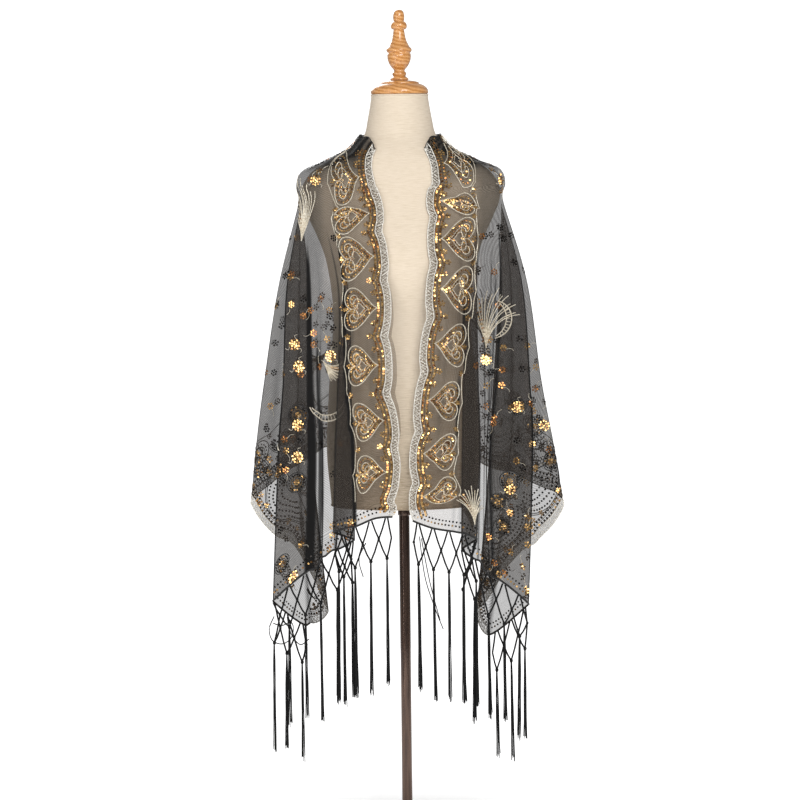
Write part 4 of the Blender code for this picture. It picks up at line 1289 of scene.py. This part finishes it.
def sequin_finish(name, dark, light, rough):
    """Metallised film, cut and cupped: bright colour in the light, near black turned away from it."""
    film = finish(name, Metallic=0.75, Roughness=rough)
    place = add_node(film, "ShaderNodeTexCoord", {}).outputs["Object"]
    # one tone for each sequin, of about 4 mm
    tone = add_node(film, "ShaderNodeTexNoise", {"Vector": place, "Scale": 160.0, "Detail": 1.0})
    add_node(film, "ShaderNodeValToRGB", {"Fac": tone.outputs["Fac"],
                                          "stops": ((0.38, dark), (0.62, light))}, "Base Color")
    return film


def thread_finish(name, dark, light, metallic, rough):
    """Twisted embroidery thread: fine light and dark along the twist, drawn 3 mm long."""
    yarn = finish(name, Metallic=metallic, Roughness=rough, Sheen_Weight=0.2)
    place = add_node(yarn, "ShaderNodeTexCoord", {}).outputs["Object"]
    twist = add_node(yarn, "ShaderNodeTexNoise", {"Vector": place, "Scale": 420.0, "Detail": 2.0})
    add_node(yarn, "ShaderNodeValToRGB", {"Fac": twist.outputs["Fac"],
                                          "stops": ((0.35, dark), (0.65, light))}, "Base Color")
    return yarn


sequin_finishes = {"gold": ("gold_film_sequins", "#6A4A28", "#CBA366", 0.16),
                   "copper": ("copper_film_sequins", "#603A1E", "#B07840", 0.18),
                   # the dark sequins are near black with painted shade: they stand for metal sequins seen in
                   # shade against the light
                   "dark": ("sequins_in_painted_shade", "#060505", "#1C1713", 0.28)}
thread_finishes = {"champagne": ("champagne_lurex_thread", "#B9AC93", "#EDE6D6", 0.25, 0.45),
                   # the old gold thread is dark brown, partly its own colour and partly painted shade
                   # between the rows of sequins it runs between
                   "old_gold": ("old_gold_lurex_thread", "#3A2B18", "#7C6238", 0.45, 0.42),
                   "lace": ("silver_grey_lace_thread", "#C4BFB4", "#FBF8F1", 0.05, 0.5),
                   "black": ("black_silk_cord", "#070606", "#141212", 0.0, 0.6)}
for kind, (name, dark, light, rough) in sequin_finishes.items():
    piece = sequin_mesh("sequins_" + kind, work[kind])
    dress(piece, sequin_finish(name, dark, light, rough), "net")
for kind, (name, dark, light, metallic, rough) in thread_finishes.items():
    piece = thread_mesh("thread_" + kind, threads[kind])
    dress(piece, thread_finish(name, dark, light, metallic, rough), "net")

# Knotted fringe
# Black silk cords, knotted through each short end, parted and tied again twice in a lattice, and
# left hanging as straight tassels of frayed threads.
TASSEL_PITCH = 0.031
KNOT_DROP = 0.041
FRINGE_LENGTHS = (0.268, 0.298, 0.345)  # tangled and drawn up under the wings, straight at the front,
FRINGE_HEMS = (0.46, 0.56, 0.66)        # by the height of the short end
FRINGE_SPREAD = 0.018
HEM_END = 0.003
STRAND_APART = 0.0024
ROOT_FROM_BEND = 0.0012
FRINGE_LEAN = 0.0035
KNOT_RADIUS = 0.0036
CORD_RADIUS = 0.0019
THREADS = 12             # threads of each tassel
THREAD_RADIUS = 0.0008
TASSEL_RADIUS = 0.0030
# Columns from each fold to the next on the CAD hem, whose bends the tassels keep clear of
FOLD_COLUMNS = ((0, 0.33, 0.67), (0, 0.5), (0, 0.5, 0.85), (0, 0.15, 0.5, 0.85), (0, 0.15, 0.5),
                (0, 0.5), (0, 0.5), (0, 0.35, 0.7, 0.92), (0, 0.11, 0.5))


def level_distance(start, end):
    """The distance between two points as seen from above."""
    return math.hypot(end.x - start.x, end.y - start.y)


def along(points, length):
    """The point of a hem at a length along it, as seen from above."""
    for start, end in zip(points, points[1:]):
        step = level_distance(start, end)
        if length <= step or end is points[-1]:
            return start.lerp(end, length / step)
        length -= step


def clear_of_bends(hem, bends, middle):
    """The tassel's place nearest to the wanted one where its cords hang apart, off the hem's bends."""
    for step in range(40):
        for place in (middle + step * 0.0002, middle - step * 0.0002):
            roots = (place - STRAND_APART, place + STRAND_APART)
            apart = level_distance(along(hem, roots[0]), along(hem, roots[1]))
            off_bends = all(abs(bend - root) > ROOT_FROM_BEND for bend in bends for root in roots)
            if off_bends and apart > 1.8 * STRAND_APART:
                return place
    return middle


def bundle(route, spread, rng):
    """Loose threads side by side along a route, spread round it by a radius at each point."""
    parts = []
    for thread in range(THREADS):
        turn = 2 * math.pi * thread / THREADS + rng.uniform(-0.3, 0.3)
        reach = rng.uniform(0.45, 1.0)
        shift = Vector((math.cos(turn), math.sin(turn), 0)) * reach
        line = []
        for centre, radius in zip(route, spread):
            wobble = Vector((rng.uniform(-1, 1), rng.uniform(-1, 1), 0)) * 0.0004
            line.append(centre + shift * radius + wobble)
        line[-1] = line[-1] + Vector((0, 0, rng.uniform(-0.009, 0.006)))
        parts.append(tube(line, THREAD_RADIUS, 3))
    return parts


def knot(centre, radius):
    """A small pulled knot: a rounded bead, a little wider than high."""
    rings = [(0.35, -1.15), (0.85, -0.75), (1.05, 0.0), (0.85, 0.75), (0.35, 1.15)]
    points = []
    for width, height in rings:
        for side in range(7):
            turn = 2 * math.pi * side / 7
            reach = Vector((math.cos(turn) * width, math.sin(turn) * width, height))
            points.append(centre + reach * radius)
    faces = [list(reversed(range(7)))]
    for ring in range(4):
        for side in range(7):
            after = (side + 1) % 7
            low = ring * 7
            faces.append([low + side, low + after, low + 7 + after, low + 7 + side])
    faces.append([28 + side for side in range(7)])
    return points, faces


def fringe_parts(hem, seed):
    """The shapes of one short end's fringe, with its tassels where the CAD ones are."""
    rng = random.Random(seed)
    bends = [0.0]
    for start, end in zip(hem, hem[1:]):
        bends.append(bends[-1] + level_distance(start, end))
    total = bends[-1]
    count = int((total - 2 * HEM_END) / TASSEL_PITCH)
    pitch = (total - 2 * HEM_END) / count
    ragged = [rng.uniform(-FRINGE_SPREAD, FRINGE_SPREAD) for _ in range(count)]
    tassels = [clear_of_bends(hem, bends, HEM_END + pitch * (index + 0.5)) for index in range(count)]
    lean = Vector((0, -FRINGE_LEAN, 0))
    down = Vector((0, 0, -1))
    places = [0.0] + tassels + [total]
    parts = []
    for index, middle in enumerate(tassels):
        meet = along(hem, middle) + lean + down * 2 * KNOT_DROP
        for direction in (-1, 1):
            root = along(hem, middle + direction * STRAND_APART) + lean * 0.3 + down * 0.001
            knot_place = (middle + places[index + 1 + direction]) / 2
            tied = along(hem, knot_place) + lean + down * KNOT_DROP
            sag = tied.lerp(meet, 0.5) + down * 0.003
            parts.append(tube([root, root.lerp(tied, 0.5) + down * 0.002, tied], CORD_RADIUS, 5))
            parts.append(tube([tied, sag, meet], CORD_RADIUS, 5))
            if direction == 1:
                parts.append(knot(tied, KNOT_RADIUS * 0.8))
        parts.append(knot(meet, KNOT_RADIUS))
        end = middle + rng.uniform(-0.003, 0.003)
        top = along(hem, end)
        foot = top + lean + down * (float(np.interp(top.z, FRINGE_HEMS, FRINGE_LENGTHS)) + ragged[index])
        route = [meet.lerp(foot, step / 6) for step in range(7)]
        spread = [0.0012, TASSEL_RADIUS * 0.8, TASSEL_RADIUS, TASSEL_RADIUS, TASSEL_RADIUS * 1.1,
                  TASSEL_RADIUS * 1.3, TASSEL_RADIUS * 1.6]
        parts += bundle(route, spread, rng)
    return parts


# Loose thin threads that hang in loops at the ends of the fringe, as points from left to right
LOOSE_LOOPS = (((-0.266, -0.105, 0.476), (-0.276, -0.112, 0.452), (-0.270, -0.112, 0.428),
                (-0.250, -0.108, 0.420), (-0.232, -0.104, 0.432), (-0.228, -0.102, 0.456),
                (-0.240, -0.102, 0.474)),
               ((-0.240, -0.100, 0.474), (-0.232, -0.106, 0.440), (-0.214, -0.106, 0.418),
                (-0.196, -0.098, 0.428)),
               ((-0.268, -0.106, 0.462), (-0.250, -0.110, 0.458), (-0.232, -0.104, 0.466)),
               ((0.030, -0.140, 0.640), (0.040, -0.146, 0.560), (0.058, -0.146, 0.500),
                (0.076, -0.144, 0.452)),
               ((0.034, -0.140, 0.636), (0.050, -0.146, 0.548), (0.070, -0.146, 0.470)),
               ((-0.078, -0.140, 0.628), (-0.092, -0.146, 0.596), (-0.084, -0.146, 0.560)))
LOOSE_RADIUS = 0.0011
LOOP_STEPS = 6           # steps from each point of a loop to the next


def loose_loop(points):
    """A thin thread along the smooth curve through the points of a loop."""
    steps = LOOP_STEPS * (len(points) - 1)
    route = [Vector(through(points, step / LOOP_STEPS)) for step in range(steps + 1)]
    return tube(route, LOOSE_RADIUS, 4)


def fringe_silk():
    """Twisted black silk: close to black, with a soft lustre along the threads."""
    silk = finish("black_twisted_silk", Roughness=0.6, Sheen_Weight=0.03, Specular_IOR_Level=0.2)
    place = add_node(silk, "ShaderNodeTexCoord", {}).outputs["Object"]
    twist = add_node(silk, "ShaderNodeTexNoise", {"Vector": place, "Scale": 700.0, "Detail": 2.0})
    add_node(silk, "ShaderNodeValToRGB", {"Fac": twist.outputs["Fac"],
                                          "stops": ((0.35, "#040404"), (0.7, "#0D0D0E"))}, "Base Color")
    add_node(silk, "ShaderNodeBump", {"Height": twist.outputs["Fac"], "Strength": 0.3,
                                      "Distance": 0.0004}, "Normal")
    return silk


black_silk = fringe_silk()
hem_places = [index + part for index, parts in enumerate(FOLD_COLUMNS) for part in parts] + [CORNER]
left_hem = [cloth_column(place)[-1] for place in hem_places]
right_hem = [cloth_column(last_fold - place)[-1] for place in reversed(hem_places)]
loops = [loose_loop(points) for points in LOOSE_LOOPS]
left_loops = [loop for loop in loops if loop[0][0].x < 0]
right_loops = [loop for loop in loops if loop[0][0].x > 0]
left_fringe = mesh_piece("stole_fringe_left", *joined(fringe_parts(left_hem, 3) + left_loops))
dress(left_fringe, black_silk, "fringe", "fringe_left")
right_fringe = mesh_piece("stole_fringe_right", *joined(fringe_parts(right_hem, 8) + right_loops))
dress(right_fringe, black_silk, "fringe", "fringe_right")

# Studio
# A white floor that is painted to glow, faintly under the stand and more away from it, soft light from a
# large panel at the right front, a fill and an even white surround, and a long lens level with the
# shoulders.
FLOOR_RADIUS = 2.5
bpy.ops.mesh.primitive_circle_add(vertices=128, radius=FLOOR_RADIUS, fill_type="NGON", location=(0, 0, 0))
floor = bpy.context.object
floor.name = "studio_floor"


def glowing_paper():
    """White seamless paper, painted to glow: faintly under the stand and more and more away from it."""
    paper = finish("white_seamless_paper", Roughness=0.9, Base_Color=rgb("#F4F4F4"),
                   Emission_Color=rgb("#FFFFFF"))
    place = add_node(paper, "ShaderNodeTexCoord", {}).outputs["Object"]
    reach = add_node(paper, "ShaderNodeVectorMath", {"operation": "LENGTH", 0: place})
    # painted light: the paper glows, faintly under the stand and fully from 0.75 m out
    add_node(paper, "ShaderNodeMapRange", {"Value": reach.outputs["Value"], "From Min": 0.22,
                                           "From Max": 0.75, "To Min": 0.04, "To Max": 0.78},
             "Emission Strength")
    return paper


floor.data.materials.append(glowing_paper())

world = bpy.data.worlds.new("white_surround")
bpy.context.scene.world = world
world.use_nodes = True
sky = world.node_tree
surround = sky.nodes["Background"]
surround.inputs["Color"].default_value = (1, 1, 1, 1)
surround.inputs["Strength"].default_value = 0.40
seen = sky.nodes.new("ShaderNodeBackground")
seen.inputs["Strength"].default_value = 1.6
path = sky.nodes.new("ShaderNodeLightPath")
choice = sky.nodes.new("ShaderNodeMixShader")
sky.links.new(path.outputs["Is Camera Ray"], choice.inputs["Fac"])
sky.links.new(surround.outputs[0], choice.inputs[1])
sky.links.new(seen.outputs[0], choice.inputs[2])
sky.links.new(choice.outputs[0], sky.nodes["World Output"].inputs["Surface"])


def soft_panel(name, place, size, power, tall=None):
    """A panel of soft light that faces the form's chest, square unless a height is given."""
    lamp = bpy.data.lights.new(name, "AREA")
    lamp.shape = "RECTANGLE"
    lamp.size = size
    lamp.size_y = tall or size
    lamp.energy = power
    panel = bpy.data.objects.new(name, lamp)
    panel.location = place
    panel.rotation_euler = (Vector((0, 0, 1.1)) - Vector(place)).to_track_quat("-Z", "Y").to_euler()
    bpy.context.scene.collection.objects.link(panel)


soft_panel("key_panel", (0.9, -2.6, 2.8), 1.2, 46)
soft_panel("fill_panel", (-2.4, -2.0, 1.9), 1.6, 14)
soft_panel("rim_panel", (-0.8, 2.4, 2.6), 1.4, 30)
soft_panel("right_spark", (0.45, -3.0, 2.1), 0.24, 8)
soft_panel("left_spark", (-1.0, -2.9, 1.9), 0.22, 6)
soft_panel("strip_panel", (-1.5, -1.9, 0.80), 0.12, 5, 1.5)

CAMERA_ELEVATION = math.radians(4.4)
CAMERA_DISTANCE = 6.5
CAMERA_AIM = Vector((-0.006, 0.0, 0.905))
CAMERA_ROLL = math.radians(-0.64)
FRAME_HEIGHT = 1.64      # what the view takes in at the form
camera_data = bpy.data.cameras.new("camera")
camera = bpy.data.objects.new("camera", camera_data)
bpy.context.scene.collection.objects.link(camera)
camera_data.sensor_width = 36.0
camera_data.lens = camera_data.sensor_width * CAMERA_DISTANCE / FRAME_HEIGHT
back = Vector((0, -math.cos(CAMERA_ELEVATION), math.sin(CAMERA_ELEVATION)))
camera.location = CAMERA_AIM + back * CAMERA_DISTANCE
camera.rotation_mode = "QUATERNION"
camera.rotation_quaternion = (-back).to_track_quat("-Z", "Y") @ Quaternion((0, 0, 1), CAMERA_ROLL)
bpy.context.scene.camera = camera
bpy.context.scene.view_settings.view_transform = "Standard"
